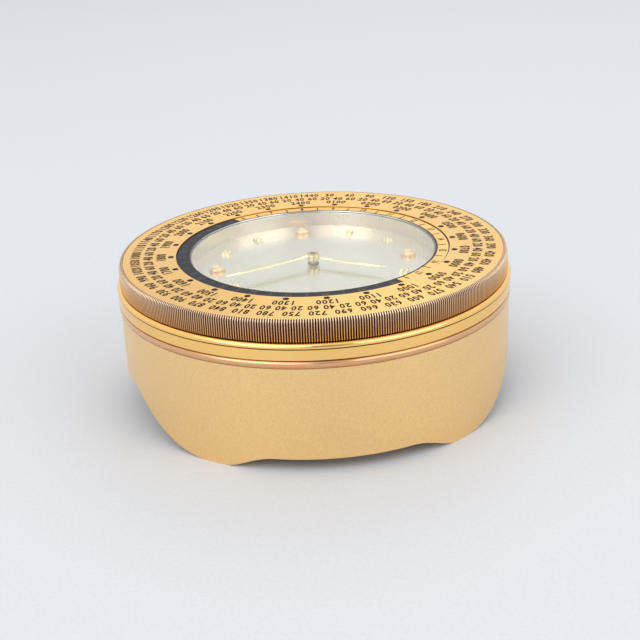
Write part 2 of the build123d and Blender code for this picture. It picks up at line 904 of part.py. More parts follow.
# Hour markers: a large lobed stud at each quarter and four small studs at the other hours
with BuildPart() as large_markers:
    for spot in ring_of(marker_circle_radius, range(0, 360, 90)):
        lobe_radius = large_marker_radius * marker_lobe_share
        core_radius = large_marker_radius - lobe_radius
        columns([spot], core_radius, dial_top, dial_top + large_marker_height)
        columns(
            ring_of(core_radius, range(0, 360, 360 // marker_lobes), spot),
            lobe_radius,
            dial_top,
            dial_top + large_marker_height - marker_lobe_drop,
        )
with BuildPart() as small_markers:
    for bearing in range(0, 360, 30):
        if bearing % 90:
            spot = polar(marker_circle_radius, bearing)
            outward = (*polar(1, bearing), 0)
            with BuildSketch(
                Plane(origin=(*spot, dial_top), x_dir=outward), mode=Mode.PRIVATE
            ) as studs:
                with GridLocations(stud_pitch, stud_pitch, 2, 2):
                    Rectangle(stud_side, stud_side)
            extrude(studs.sketch, amount=small_marker_height, taper=stud_taper)

# Hands: leaf shapes on round bosses, pressed on the pipe and on the cannon pinion
with BuildPart() as hour_hand:
    outline(
        hand_points(hour_hand_length, hour_hand_width, hand_boss_radius),
        hour_hand_bottom,
        hour_hand_top,
        turn=hour_hand_angle,
    )
    columns([(0, 0)], hand_boss_radius, hour_boss_bottom, hour_hand_top)
    columns(
        [(0, 0)],
        hour_pipe_radius,
        hour_boss_bottom - overrun,
        hour_hand_top + overrun,
        Mode.SUBTRACT,
    )
with BuildPart() as minute_hand:
    outline(
        hand_points(minute_hand_length, minute_hand_width, hand_boss_radius),
        minute_hand_bottom,
        minute_hand_top,
        turn=minute_hand_angle,
    )
    columns([(0, 0)], hand_boss_radius, minute_boss_bottom, minute_hand_top)
    columns(
        [(0, 0)],
        cannon_radius,
        minute_boss_bottom - overrun,
        minute_hand_top + overrun,
        Mode.SUBTRACT,
    )
with BuildPart() as hand_nut:
    columns([(0, 0)], nut_radius, minute_hand_top, nut_top)
    columns(
        [(0, 0)],
        cannon_radius,
        minute_hand_top - overrun,
        nut_top + overrun,
        Mode.SUBTRACT,
    )

# Motion work on the front plate: cannon pinion, minute wheel, hour wheel, transfer wheel
with BuildPart() as cannon_pinion:
    outline(tooth_points(cannon_teeth, motion_module, 0), motion_bottom, cannon_leaf_top)
    columns([(0, 0)], cannon_radius, motion_bottom, nut_top)
    columns([(0, 0)], cannon_bore, motion_bottom - overrun, nut_top + overrun, Mode.SUBTRACT)
with BuildPart() as minute_wheel:
    outline(
        tooth_points(minute_teeth, motion_module, minute_phase),
        motion_bottom,
        minute_wheel_top,
        minute_centre,
    )
    outline(
        tooth_points(minute_pinion_teeth, hour_module, 0),
        minute_wheel_top,
        minute_pinion_top,
        minute_centre,
    )
    columns(
        [minute_centre],
        arbor_radius + running_fit,
        motion_bottom - overrun,
        minute_pinion_top + overrun,
        Mode.SUBTRACT,
    )
with BuildPart() as minute_post:
    columns([minute_centre], arbor_radius, front_plate_top, minute_pinion_top)
with BuildPart() as hour_wheel:
    outline(tooth_points(hour_teeth, hour_module, hour_phase), hour_wheel_bottom, hour_wheel_top)
    outline(tooth_points(hour_drive_teeth, drive_module, 0), hour_drive_bottom, hour_drive_top)
    columns([(0, 0)], hour_hub_radius, hour_wheel_top, hour_drive_bottom)
    columns([(0, 0)], hour_pipe_radius, hour_wheel_bottom, hour_hand_top)
    columns(
        [(0, 0)], hour_pipe_bore, hour_wheel_bottom - overrun, hour_hand_top + overrun, Mode.SUBTRACT
    )
with BuildPart() as transfer_wheel:
    outline(
        tooth_points(transfer_teeth, drive_module, transfer_phase),
        hour_drive_bottom,
        hour_drive_top,
        transfer_centre,
    )
    outline(
        tooth_points(ring_pinion_teeth, ring_module, 0),
        skirt_bottom,
        ring_pinion_top,
        transfer_centre,
    )
    columns([transfer_centre], transfer_sleeve_radius, hour_drive_bottom, ring_pinion_top)
    columns(
        [transfer_centre],
        transfer_post_radius + running_fit,
        hour_drive_bottom - overrun,
        ring_pinion_top + overrun,
        Mode.SUBTRACT,
    )
with BuildPart() as transfer_post:
    columns(
        [transfer_centre],
        transfer_sleeve_radius,
        front_plate_top,
        hour_drive_bottom - loose_fit,
    )
    columns([transfer_centre], transfer_post_radius, front_plate_top, ring_pinion_top + loose_fit)

# Plates of the movement, with a hole for every pivot, and the pillars and screws between
with BuildPart() as front_plate:
    columns([(0, 0)], front_plate_radius, front_plate_bottom, front_plate_top)
    for spots, hole in (
        ([(0, 0)], centre_arbor_radius + running_fit),
        (train_spots, pivot_radius + running_fit),
        ([barrel_centre], barrel_pivot_radius + running_fit),
        ([setting_centre], setting_arbor_radius + running_fit),
        (pillar_spots + holder_spots, screw_shank_radius + running_fit),
    ):
        columns(spots, hole, front_plate_bottom - overrun, front_plate_top + overrun, Mode.SUBTRACT)
with BuildPart() as back_plate:
    columns([(0, 0)], back_plate_radius, back_plate_bottom, back_plate_top)
    for spots, hole in (
        ([(0, 0), balance_centre] + train_spots, pivot_radius + running_fit),
        ([barrel_centre], barrel_arbor_radius + running_fit),
        ([setting_centre], setting_arbor_radius + running_fit),
        (pillar_spots + [cock_foot], screw_shank_radius + running_fit),
    ):
        columns(spots, hole, back_plate_bottom - overrun, back_plate_top + overrun, Mode.SUBTRACT)
with BuildPart() as pillars:
    columns(pillar_spots, pillar_radius, back_plate_top, front_plate_bottom)
    for low, high in (
        (back_plate_top - overrun, back_plate_top + screw_bite + running_fit),
        (front_plate_bottom - screw_bite - running_fit, front_plate_bottom + overrun),
    ):
        columns(pillar_spots, screw_shank_radius + running_fit, low, high, Mode.SUBTRACT)
with BuildPart() as plate_screws:
    columns(pillar_spots, screw_head_radius, back_plate_bottom - screw_head_height, back_plate_bottom)
    columns(pillar_spots, screw_shank_radius, back_plate_bottom, back_plate_top + screw_bite)
    columns(pillar_spots, screw_head_radius, front_plate_top, front_plate_top + screw_head_height)
    columns(pillar_spots, screw_shank_radius, front_plate_bottom - screw_bite, front_plate_top)
with BuildPart() as holder_screws:
    columns(
        holder_spots, screw_head_radius, front_plate_bottom - screw_head_height, front_plate_bottom
    )
    columns(holder_spots, screw_shank_radius, front_plate_bottom, front_plate_top + holder_bite)

# Mainspring barrel: a toothed floor, a wall, a cover and the coiled spring inside
with BuildPart() as barrel:
    outline(
        tooth_points(barrel_teeth, barrel_module, 0), barrel_bottom, rim_top, barrel_centre
    )
    columns([barrel_centre], barrel_radius, rim_top, barrel_top)
    columns([barrel_centre], barrel_inner, rim_top, barrel_top + overrun, Mode.SUBTRACT)
    columns(
        [barrel_centre],
        barrel_arbor_radius + running_fit,
        barrel_bottom - overrun,
        rim_top + overrun,
        Mode.SUBTRACT,
    )
with BuildPart() as barrel_cover:
    columns([barrel_centre], barrel_radius, barrel_top, cover_top)
    columns(
        [barrel_centre],
        barrel_arbor_radius + running_fit,
        barrel_top - overrun,
        cover_top + overrun,
        Mode.SUBTRACT,
    )
with BuildPart() as mainspring:
    outline(
        spiral_points(
            barrel_arbor_radius + easy_fit + spring_strip,
            barrel_inner - loose_fit,
            spring_turns,
            spring_steps_per_turn,
            spring_strip,
        ),
        rim_top + loose_fit,
        barrel_top - loose_fit,
        barrel_centre,
    )

# Winding: the arbor with its square, the ratchet wheel, the click and its spring, the key
with BuildPart() as barrel_arbor:
    columns([barrel_centre], barrel_arbor_radius, key_top, cover_top + easy_fit)
    columns([barrel_centre], barrel_pivot_radius, cover_top, pivot_top)
    outline(
        square_points(arbor_square), key_top - key_socket_depth, key_top, barrel_centre
    )
with BuildPart() as ratchet_wheel:
    ratchet_corners = []
    for tooth in range(ratchet_teeth):
        start = 360 * tooth / ratchet_teeth
        ratchet_corners.append(polar(ratchet_radius, start))
        ratchet_corners.append(
            polar(ratchet_radius - ratchet_tooth_depth, start + ratchet_face_angle)
        )
    outline(ratchet_corners, ratchet_bottom, ratchet_top, barrel_centre)
    columns(
        [barrel_centre],
        barrel_arbor_radius,
        ratchet_bottom - overrun,
        ratchet_top + overrun,
        Mode.SUBTRACT,
    )
with BuildPart() as click:
    bar(click_pivot, click_tip, click_width, ratchet_bottom, ratchet_top)
    columns([click_pivot], click_width, ratchet_bottom, ratchet_top)
    columns(
        [click_pivot],
        arbor_radius + running_fit,
        ratchet_bottom - overrun,
        ratchet_top + overrun,
        Mode.SUBTRACT,
    )
with BuildPart() as click_post:
    columns([click_pivot], arbor_radius, ratchet_bottom, back_plate_bottom)
with BuildPart() as click_spring:
    bar(click_spring_foot, click_spring_tip, click_spring_width, ratchet_bottom, ratchet_top)
    columns([click_spring_foot], click_width / 2, ratchet_bottom, back_plate_bottom)
with BuildPart() as winding_key:
    columns([barrel_centre], key_hub_radius, key_hub_bottom, key_top)
    half_span = key_span / 2 - key_blade_height / 2
    with BuildSketch(
        Plane(
            origin=(*barrel_centre, key_hub_bottom),
            x_dir=(1, 0, 0),
            z_dir=(0, -1, 0),
        ),
        mode=Mode.PRIVATE,
    ) as blade:
        SlotCenterToCenter(half_span * 2, key_blade_height)
    extrude(blade.sketch, amount=key_blade_thickness / 2, both=True)
    outline(
        square_points(arbor_square + running_fit * 2),
        key_top - key_socket_depth - loose_fit,
        key_top + overrun,
        barrel_centre,
        mode=Mode.SUBTRACT,
    )

# Hand setting: the arbor with its pinion, and the fluted knob under the base plate
with BuildPart() as setting_arbor:
    outline(
        tooth_points(setting_teeth, motion_module, setting_phase),
        motion_bottom,
        minute_wheel_top,
        setting_centre,
    )
    columns([setting_centre], setting_arbor_radius, knob_top - knob_height / 2, minute_wheel_top)
with BuildPart() as setting_knob:
    knob_corners = []
    for flute in range(knob_flutes):
        knob_corners.append(polar(knob_radius, 360 * flute / knob_flutes))
        knob_corners.append(polar(knob_radius - knob_flute_depth, 360 * (flute + 0.5) / knob_flutes))
    outline(knob_corners, knob_top - knob_height, knob_top, setting_centre)
    columns(
        [setting_centre],
        setting_arbor_radius,
        knob_top - knob_height / 2,
        knob_top + overrun,
        Mode.SUBTRACT,
    )

# Going train: each arbor carries the pinion that the wheel before it drives
leaf_overlap = (leaf_height - wheel_thickness) / 2
with BuildPart() as centre_wheel:
    wheel_and_arbor(
        (0, 0),
        centre_pinion_teeth,
        barrel_module,
        centre_pinion_phase,
        barrel_bottom,
        centre_teeth,
        centre_module,
        centre_wheel_bottom,
    )
    columns([(0, 0)], centre_arbor_radius, front_plate_bottom - easy_fit, minute_hand_top)
with BuildPart() as third_wheel:
    wheel_and_arbor(
        third_centre,
        third_pinion_teeth,
        centre_module,
        third_pinion_phase,
        centre_wheel_bottom - leaf_overlap,
        third_teeth,
        third_module,
        third_wheel_bottom,
    )
with BuildPart() as fourth_wheel:
    wheel_and_arbor(
        fourth_centre,
        fourth_pinion_teeth,
        third_module,
        fourth_pinion_phase,
        third_wheel_bottom - leaf_overlap,
        fourth_teeth,
        fourth_module,
        fourth_wheel_bottom,
    )
with BuildPart() as escape_wheel:
    hook_corners = []
    for tooth in range(escape_teeth):
        start = 360 * tooth / escape_teeth
        pitch = 360 / escape_teeth
        hook_corners.append(polar(escape_radius, start))
        hook_corners.append(polar(escape_radius, start + pitch * hook_tip_share))
        hook_corners.append(polar(escape_radius - escape_tooth_depth, start + pitch * hook_back_share))
        hook_corners.append(polar(escape_radius - escape_tooth_depth, start + pitch * hook_foot_share))
    outline(hook_corners, escape_wheel_bottom, escape_wheel_top, escape_centre)
    cross_out(
        escape_radius - escape_tooth_depth, escape_wheel_bottom, escape_wheel_top, escape_centre
    )
    outline(
        tooth_points(escape_pinion_teeth, fourth_module, escape_pinion_phase),
        fourth_wheel_bottom - leaf_overlap,
        fourth_wheel_bottom - leaf_overlap + leaf_height,
        escape_centre,
    )
    columns([escape_centre], arbor_radius, back_plate_top + easy_fit, front_plate_bottom - easy_fit)
    columns([escape_centre], pivot_radius, pivot_bottom, pivot_top)

# Escapement: the pallets and their lever, the balance, its spring, the cock and regulator
with BuildPart() as pallet_fork:
    stone_radius = escape_radius + pallet_clearance + lever_width / 2
    for side in (-1, 1):
        stone = polar(stone_radius, pallet_bearing + side * pallet_spread, escape_centre)
        bar(pallet_centre, stone, lever_width, escape_wheel_bottom, escape_wheel_top)
    lever_end = polar(lever_length, balance_bearing, pallet_centre)
    bar(pallet_centre, lever_end, lever_width, escape_wheel_bottom, escape_wheel_top)
    columns([pallet_centre], arbor_radius, back_plate_top + easy_fit, front_plate_bottom - easy_fit)
    columns([pallet_centre], pivot_radius, pivot_bottom, pivot_top)
with BuildPart() as balance_wheel:
    columns([balance_centre], balance_radius, balance_bottom, balance_top)
    columns(
        [balance_centre],
        balance_radius - balance_rim,
        balance_bottom - overrun,
        balance_top + overrun,
        Mode.SUBTRACT,
    )
    arm_reach = balance_radius - balance_rim / 2
    bar(
        polar(arm_reach, cock_bearing, balance_centre),
        polar(arm_reach, cock_bearing + 180, balance_centre),
        balance_arm_width,
        balance_bottom,
        balance_top,
    )
    columns([balance_centre], impulse_roller_radius, escape_wheel_bottom, escape_wheel_top)
    columns(
        [balance_centre],
        collet_radius,
        hairspring_top - collet_height,
        hairspring_top,
    )
    columns([balance_centre], arbor_radius, back_plate_top + easy_fit, cock_bottom - easy_fit)
    columns([balance_centre], pivot_radius, pivot_bottom, cock_top - loose_fit)
with BuildPart() as hairspring:
    outline(
        spiral_points(
            collet_radius + running_fit + hairspring_strip,
            hairspring_radius,
            hairspring_turns,
            hairspring_steps_per_turn,
            hairspring_strip,
        ),
        hairspring_bottom,
        hairspring_top,
        balance_centre,
    )
with BuildPart() as balance_cock:
    columns([cock_foot], cock_foot_radius, back_plate_top, cock_top)
    bar(cock_foot, balance_centre, cock_width, cock_bottom, cock_top)
    columns(
        [balance_centre],
        pivot_radius + running_fit,
        cock_bottom - overrun,
        cock_top + overrun,
        Mode.SUBTRACT,
    )
    columns(
        [cock_foot],
        screw_shank_radius + running_fit,
        back_plate_top - overrun,
        back_plate_top + screw_bite + running_fit,
        Mode.SUBTRACT,
    )
with BuildPart() as cock_screw:
    columns([cock_foot], screw_head_radius, back_plate_bottom - screw_head_height, back_plate_bottom)
    columns([cock_foot], screw_shank_radius, back_plate_bottom, back_plate_top + screw_bite)
with BuildPart() as regulator:
    pin_circle = hairspring_radius + regulator_pin_radius * 2
    columns([balance_centre], regulator_width, regulator_bottom, regulator_top)
    bar(
        balance_centre,
        polar(regulator_length, regulator_bearing, balance_centre),
        regulator_width,
        regulator_bottom,
        regulator_top,
    )
    columns(
        [polar(pin_circle, regulator_bearing, balance_centre)],
        regulator_pin_radius,
        hairspring_bottom,
        regulator_bottom,
    )
    columns(
        [balance_centre],
        pivot_radius + running_fit,
        regulator_bottom - overrun,
        regulator_top + overrun,
        Mode.SUBTRACT,
    )

pieces = {
    "case_drum": case_drum,
    "base_plate": base_plate,
    "case_posts": case_posts,
    "base_screws": base_screws,
    "case_screws": case_screws,
    "case_ring": case_ring,
    "bezel_wire": bezel_wire,
    "bezel": bezel,
    "world_ring": world_ring,
    "day_ring": day_ring,
    "day_ring_carrier": day_ring_carrier,
    "rehaut": rehaut,
    "crystal": crystal,
    "crystal_gasket": crystal_gasket,
    "dial": dial,
    "dial_washer": dial_washer,
    "dial_pillars": dial_pillars,
    "large_markers": large_markers,
    "small_markers": small_markers,
    "hour_hand": hour_hand,
    "minute_hand": minute_hand,
    "hand_nut": hand_nut,
    "cannon_pinion": cannon_pinion,
    "minute_wheel": minute_wheel,
    "minute_post": minute_post,
    "hour_wheel": hour_wheel,
    "transfer_wheel": transfer_wheel,
    "transfer_post": transfer_post,
    "front_plate": front_plate,
    "back_plate": back_plate,
    "pillars": pillars,
    "plate_screws": plate_screws,
    "holder_screws": holder_screws,
    "barrel": barrel,
    "barrel_cover": barrel_cover,
    "mainspring": mainspring,
    "barrel_arbor": barrel_arbor,
    "ratchet_wheel": ratchet_wheel,
    "click": click,
    "click_post": click_post,
    "click_spring": click_spring,
    "winding_key": winding_key,
    "setting_arbor": setting_arbor,
    "setting_knob": setting_knob,
    "centre_wheel": centre_wheel,
    "third_wheel": third_wheel,
    "fourth_wheel": fourth_wheel,
    "escape_wheel": escape_wheel,
    "pallet_fork": pallet_fork,
    "balance_wheel": balance_wheel,
    "hairspring": hairspring,
    "balance_cock": balance_cock,
    "cock_screw": cock_screw,
    "regulator": regulator,
}
for piece_name, piece in pieces.items():
    piece.part.label = piece_name
    export_step(piece.part, f"parts/{piece_name}.step")
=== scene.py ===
"""Looks of a round brass table clock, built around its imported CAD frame.

Lengths are metres in the row frame: the clock lies on its back on z = 0, its axis is the Z axis
and twelve o'clock is towards -Y. Radii and heights come from the frame's own nodes.
"""

import math

import bmesh
import bpy
import numpy as np
from bpy.props import FloatProperty, FloatVectorProperty, IntProperty, PointerProperty
from mathutils import Matrix, Vector


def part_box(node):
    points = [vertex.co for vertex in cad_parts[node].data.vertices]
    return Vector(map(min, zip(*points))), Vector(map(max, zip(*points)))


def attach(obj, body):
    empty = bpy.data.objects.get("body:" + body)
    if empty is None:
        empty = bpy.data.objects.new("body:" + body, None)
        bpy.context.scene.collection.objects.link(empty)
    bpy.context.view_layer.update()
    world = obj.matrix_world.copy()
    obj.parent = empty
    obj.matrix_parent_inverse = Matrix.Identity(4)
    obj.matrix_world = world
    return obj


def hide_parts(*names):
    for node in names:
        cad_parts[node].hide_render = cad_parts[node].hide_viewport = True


bl_info = {
    "name": "Brass table clock",
    "version": (1, 0, 0),
    "blender": (4, 5, 0),
    "location": "3D view > Sidebar > Clock",
    "description": "Dresses the packed frame of a round brass table clock",
    "category": "Object",
}

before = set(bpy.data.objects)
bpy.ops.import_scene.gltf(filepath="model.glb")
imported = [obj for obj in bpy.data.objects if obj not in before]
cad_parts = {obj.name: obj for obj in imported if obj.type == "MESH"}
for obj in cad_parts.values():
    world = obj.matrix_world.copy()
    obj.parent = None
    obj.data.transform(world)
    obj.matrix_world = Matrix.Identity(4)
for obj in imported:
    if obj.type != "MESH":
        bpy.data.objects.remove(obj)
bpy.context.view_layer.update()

MILLIMETRE = 0.001

# Bearings in degrees about the axis: the hours stand 15 degrees apart and run clockwise
HOUR_ANGLE = 15
HOURS = 24
NOON = 12
MINUTES = 60
NOON_BEARING = 27.96
DAWN_BEARING = 121.4
DUSK_BEARING = 301.6
MINUTE_HAND_BEARING = 204.76
HOUR_HAND_BEARING = 324.56
MARKER_BEARINGS = (0, 90, 180, 270)

# Hour of the printed ring that stands at the noon bearing at rest
RING_HOUR = 4

# Figures' width as a share of the drawn one, and their spacing as a share of their height
RING_FIGURES = (0.72, 0.56)
DAY_FIGURES = (0.62, 0.5)

# Steps round a turned piece, from the largest pieces to the smallest
BAND_STEPS = 480
PLATE_STEPS = 360
BOSS_STEPS = 48
DOT_STEPS = 24

# Depth of the knurl over one ridge, from one crest to the next
RIDGE_WAVE = (0.0, 0.3, 1.0, 0.3)

# Points nearer together than the first become one, and edges shorter than the second go
WELD_DISTANCE = 1e-7
LEAST_EDGE = 1e-8

FLOOR_RADIUS = 6.0
FLOOR_STEPS = 64
SENSOR_WIDTH = 36
NEAR_LIMIT = 0.01
SKY_TONE = (0.96, 0.98, 1.0, 1)

# Cosine of the angle to the camera's direction where the dark flag starts and where it is full
FLAG_START = 0.88
FLAG_FULL = 0.97

# Name, place, diameter in metres and share of the front lamps' power
LAMPS = (
    ("top_lamp", (-0.5, -0.35, 0.9), 1.1, 0.4),
    ("back_lamp", (0.24, 0.66, 0.71), 0.6, 0.15),
    ("left_lamp", (-0.8, -1.0, 0.8), 1.4, 1),
    ("right_lamp", (0.9, -0.9, 0.8), 1.4, 1),
)
LAMP_AIM = (0, 0, 0.02)


def screen(red, green, blue):
    """A colour given as screen values from 0 to 255, as the linear colour that a shader takes."""
    shares = np.array([red, green, blue]) / 255
    linear = np.where(shares <= 0.04045, shares / 12.92, ((shares + 0.055) / 1.055) ** 2.4)
    return tuple(float(value) for value in linear)


def rim(node):
    """Outer radius of a round CAD node."""
    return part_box(node)[1].x


def top(node):
    """Height of a CAD node's top face."""
    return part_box(node)[1].z


def bottom(node):
    """Height of a CAD node's lowest point."""
    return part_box(node)[0].z


def length(name, description, millimetres):
    """A length property with its default in millimetres."""
    return FloatProperty(
        name=name, description=description, default=millimetres * MILLIMETRE, unit="LENGTH"
    )


def number(name, description, default, unit="NONE"):
    """A number property, plain or with a unit."""
    return FloatProperty(name=name, description=description, default=default, unit=unit)


def angle(name, description, degrees):
    """An angle property with its default in degrees."""
    return FloatProperty(
        name=name, description=description, default=math.radians(degrees), subtype="ANGLE"
    )


def colour(name, description, red, green, blue):
    """A colour property with its default in screen values."""
    return FloatVectorProperty(
        name=name,
        description=description,
        default=screen(red, green, blue),
        size=3,
        min=0,
        max=1,
        subtype="COLOR",
    )


class ClockSizes(bpy.types.PropertyGroup):
    """Sizes of the pieces that are finer than the frame."""

    ridge_count: IntProperty(
        name="Ridges", description="Ridges of the straight knurl round the bezel", default=513
    )
    ridge_depth: length("Ridge depth", "Depth of the knurl", 0.42)
    edge_height: length("Edge height", "Height of the bezel's rounded upper edge", 1.35)
    ring_inset: length("Ring inset", "Width of the bezel's edge round the printed ring", 0.3)
    ring_clearance: length("Ring clearance", "Gap round the printed ring", 0.1)
    bezel_wall: length("Bezel wall", "Thickness of the bezel's wall above its rail", 7.0)
    bezel_web: length("Bezel web", "Thickness of the web under the printed ring", 0.6)
    bezel_reach: length("Web reach", "How far the web reaches inwards from the wall", 5.0)
    chamfer: length("Chamfer", "Small broken edges", 0.1)
    ring_gap: length("Ring gap", "Gap between the printed ring and the day ring", 0.2)
    plate_edge: length("Plate edge", "Broken edges of the printed ring", 0.05)
    ring_sink: length("Ring sink", "How far the printed ring lies below the bezel's edge", 0.05)
    ink_height: length("Ink height", "How far the print stands proud", 0.025)
    figure_height: length("Figure height", "Height of the figures on the printed ring", 2.75)
    hour_height: length("Hour height", "Height of the hours on the day ring", 2.1)
    outer_row: length("Outer row", "Radius of the feet of the outer row of figures", 48.05)
    middle_row: length("Middle row", "Radius of the feet of the middle row of figures", 44.45)
    inner_row: length("Inner row", "Radius of the feet of the inner row of figures", 40.85)
    dot_radius: length("Dot radius", "Radius of the dot at each hour", 0.86)
    dot_circle: length("Dot circle", "Radius of the circle that the dots stand on", 39.5)
    day_ring_width: length("Day ring width", "Width of the day ring", 3.2)
    tick_width: length("Tick width", "Width of the ticks on the day ring", 0.36)
    tick_foot: length("Tick foot", "Gap inside the ticks", 0.2)
    tick_head: length("Tick head", "Gap outside the ticks", 0.9)
    bezel_gap: length("Bezel gap", "Gap between the bezel and the case ring", 0.2)
    rail_fit: length("Rail fit", "Play of the bezel on its rail", 0.05)
    rail_width: length("Rail width", "Thickness of the bezel's rail", 2.0)
    wire_play: length("Wire play", "Play of the spring wire in its grooves", 0.1)
    flange_gap: length("Flange gap", "Gap between the inner flange and the toothed skirt", 0.3)
    spigot_wall: length("Spigot wall", "Wall of the case ring's spigot in the drum", 1.3)
    lip_height: length("Lip height", "Height of the polished lip round the drum's top", 2.1)
    seam_groove: length("Seam groove", "Depth of the groove between case ring and drum", 0.25)
    bead_height: length("Bead height", "Height of the rounded bead on the case ring", 1.35)
    bead_round: length("Bead round", "Radius of the bead's upper edge", 1.0)
    bead_groove: length("Bead groove", "Depth of the fine groove under the bead", 0.22)
    glass_edge: length("Glass edge", "Broken edge of the glass", 0.06)
    rosette_radius: length("Rosette radius", "Radius of the marks at the quarters", 2.25)
    hour_width: length("Hour hand width", "Widest part of the hour hand", 2.1)
    minute_width: length("Minute hand width", "Widest part of the minute hand", 2.5)
    hand_thickness: length("Hand thickness", "Thickness of the hands' blades", 0.25)
    hand_root: length("Hand root", "Where the blades start, from the axis", 1.3)
    boss_radius: length("Boss radius", "Radius of both hands' bosses", 1.8)
    cup_radius: length("Cup radius", "Radius of the recess in the nut and the upper boss", 1.15)
    hour_pipe: length("Hour pipe", "Radius of the pipe that carries the hour hand", 1.1)
    minute_pipe: length("Minute pipe", "Radius of the pipe that carries the minute hand", 0.75)


class ClockColours(bpy.types.PropertyGroup):
    """Colours of the finishes."""

    satin_brass: colour("Satin brass", "Blasted and lacquered wall of the drum", 255, 208, 143)
    polished_brass: colour("Polished brass", "Case ring, key and knob", 255, 210, 130)
    ring_gold: colour("Ring gold", "Ground of the printed rings", 252, 200, 120)
    knurl_crest: colour("Knurl crest", "Worn tops of the knurl", 255, 198, 134)
    # Painted shade: the dark colour of the knurl's grooves.
    knurl_groove: colour("Knurl groove", "Dark grooves of the knurl", 134, 86, 50)
    # Painted highlight: the pale colour of the knurl's upper edge.
    bevel_silver: colour("Bevel", "Bare metal at the knurl's upper edge", 250, 234, 208)
    lip: colour("Lip", "Polished lip round the drum's top", 226, 172, 122)
    # Tarnish with painted shade: the dark colour of the fine grooves and seams.
    seam: colour("Seam", "Tarnish in the fine grooves of the case", 150, 94, 46)
    ink: colour("Ink", "Print on the gold rings", 34, 18, 6)
    pale_ink: colour("Pale ink", "Print on the night half", 98, 86, 72)
    night: colour("Night", "Night half of the day ring", 22, 30, 40)
    dial_silver: colour("Dial silver", "Silvered dial and white gasket", 226, 222, 204)
    rehaut_silver: colour("Rehaut silver", "Polished slope round the dial", 244, 234, 216)
    gilt: colour("Gilt", "Hands and small hour marks", 240, 228, 174)
    rosette: colour("Rosette", "Warm gilt of the marks at the quarters", 246, 206, 144)
    movement_brass: colour("Movement brass", "Plates and wheels", 214, 178, 110)
    nut: colour("Nut", "Darker gilt of the hands' nut", 216, 166, 92)
    # Painted shade: the washer and pipe under the hands and in the nut's recess are darkened.
    shadowed: colour("Shadowed brass", "Tarnished washer and pipe of the hands", 92, 74, 44)
    steel: colour("Steel", "Arbors, posts and screws", 170, 170, 172)
    dark_steel: colour("Dark steel", "Oiled wire of the bezel", 74, 72, 70)
    blued_steel: colour("Blued steel", "Springs of the movement", 40, 56, 110)


class ClockStage(bpy.types.PropertyGroup):
    """Floor, light and camera."""

    floor: colour("Floor", "Pale table top", 208, 210, 214)
    sky: number("Sky", "Strength of the plain world light", 0.95)
    flag: number("Flag", "Share of the sky's strength on the dark flag", 0.4)
    lamp: number("Lamp", "Power of each soft lamp in front", 5.2, "POWER")
    lens: number("Lens", "Focal length on a 36 mm sensor", 72.65, "CAMERA")
    tilt: angle("Tilt", "How far the camera looks down", 22.325)
    turn: angle("Turn", "Heading of the view, about the clock's axis", -6.5)
    roll: angle("Roll", "Roll of the camera about its own line of sight", -2.612)
    place: FloatVectorProperty(
        name="Place",
        description="Where the camera stands",
        default=(-0.03756, -0.3395, 0.15929),
        size=3,
        subtype="XYZ",
        unit="LENGTH",
    )


def settings(context):
    """The sizes and colours of the scene."""
    return context.scene.clock_sizes, context.scene.clock_colours


# Meshes


def place_mesh(name, shape, material, body, replaced=None, crease=35):
    """Makes a piece from points and faces, closes its seams and turns its faces outwards. It rides
    on a CAD body, takes its material and stands for a CAD node, if one is named."""
    points, faces = shape
    mesh = bpy.data.meshes.new(name)
    mesh.from_pydata(np.asarray(points, float).reshape(-1, 3), [], faces)
    shell = bmesh.new()
    shell.from_mesh(mesh)
    bmesh.ops.remove_doubles(shell, verts=shell.verts, dist=WELD_DISTANCE)
    bmesh.ops.dissolve_degenerate(shell, edges=shell.edges, dist=LEAST_EDGE)
    bmesh.ops.recalc_face_normals(shell, faces=shell.faces)
    shell.to_mesh(mesh)
    shell.free()
    mesh.shade_smooth()
    mesh.set_sharp_from_angle(angle=math.radians(crease))
    mesh.materials.append(material)
    piece = bpy.data.objects.new(name, mesh)
    bpy.context.scene.collection.objects.link(piece)
    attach(piece, body)
    if replaced:
        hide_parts(replaced)


def mesh_points(mesh):
    """A mesh's points, one to a row."""
    points = np.empty(len(mesh.vertices) * 3)
    mesh.vertices.foreach_get("co", points)
    return points.reshape(-1, 3)


def loop_faces(rows, columns):
    """Quads of a grid whose rows and columns both close on themselves: corner (i, j) joins
    (i, j + 1), (i + 1, j + 1) and (i + 1, j)."""
    corner = np.arange(rows * columns).reshape(rows, columns)
    beside, below = np.roll(corner, -1, axis=1), np.roll(corner, -1, axis=0)
    across = np.roll(below, -1, axis=1)
    return np.stack([corner, beside, across, below], axis=-1).reshape(-1, 4)


def whole_turn(steps):
    """Bearings of one turn, in radians, without the last that falls on the first."""
    return np.linspace(0, 2 * np.pi, steps, endpoint=False)


def turned_shape(radii, heights, bearings, centre=(0, 0)):
    """Points and faces of a turned solid: x and y are the centre plus radius (i, j) times the
    cosine and the sine of bearing j, and z is height (i, j)."""
    x = centre[0] + radii * np.cos(bearings)
    y = centre[1] + radii * np.sin(bearings)
    points = np.stack(np.broadcast_arrays(x, y, heights), axis=-1)
    return points, loop_faces(*points.shape[:2])


def plain_turned(profile, steps, centre=(0, 0)):
    """A turned solid that is the same all round, from the corners (radius, height) of its
    section."""
    profile = np.array(profile)
    return turned_shape(profile[:, :1], profile[:, 1:], whole_turn(steps), centre)


def on_circle(radius, bearing):
    """A point on a circle, at a bearing in degrees."""
    turn = math.radians(bearing)
    return np.array([radius * math.cos(turn), radius * math.sin(turn)])


def join(parts):
    """Several (points, faces) pairs as one pair, with the faces' numbers carried on."""
    points, faces, start = [], [], 0
    for part_points, part_faces in parts:
        flat = np.asarray(part_points).reshape(-1, 3)
        points.append(flat)
        faces.extend((np.asarray(face) + start).tolist() for face in part_faces)
        start += len(flat)
    return np.concatenate(points), faces


# Materials


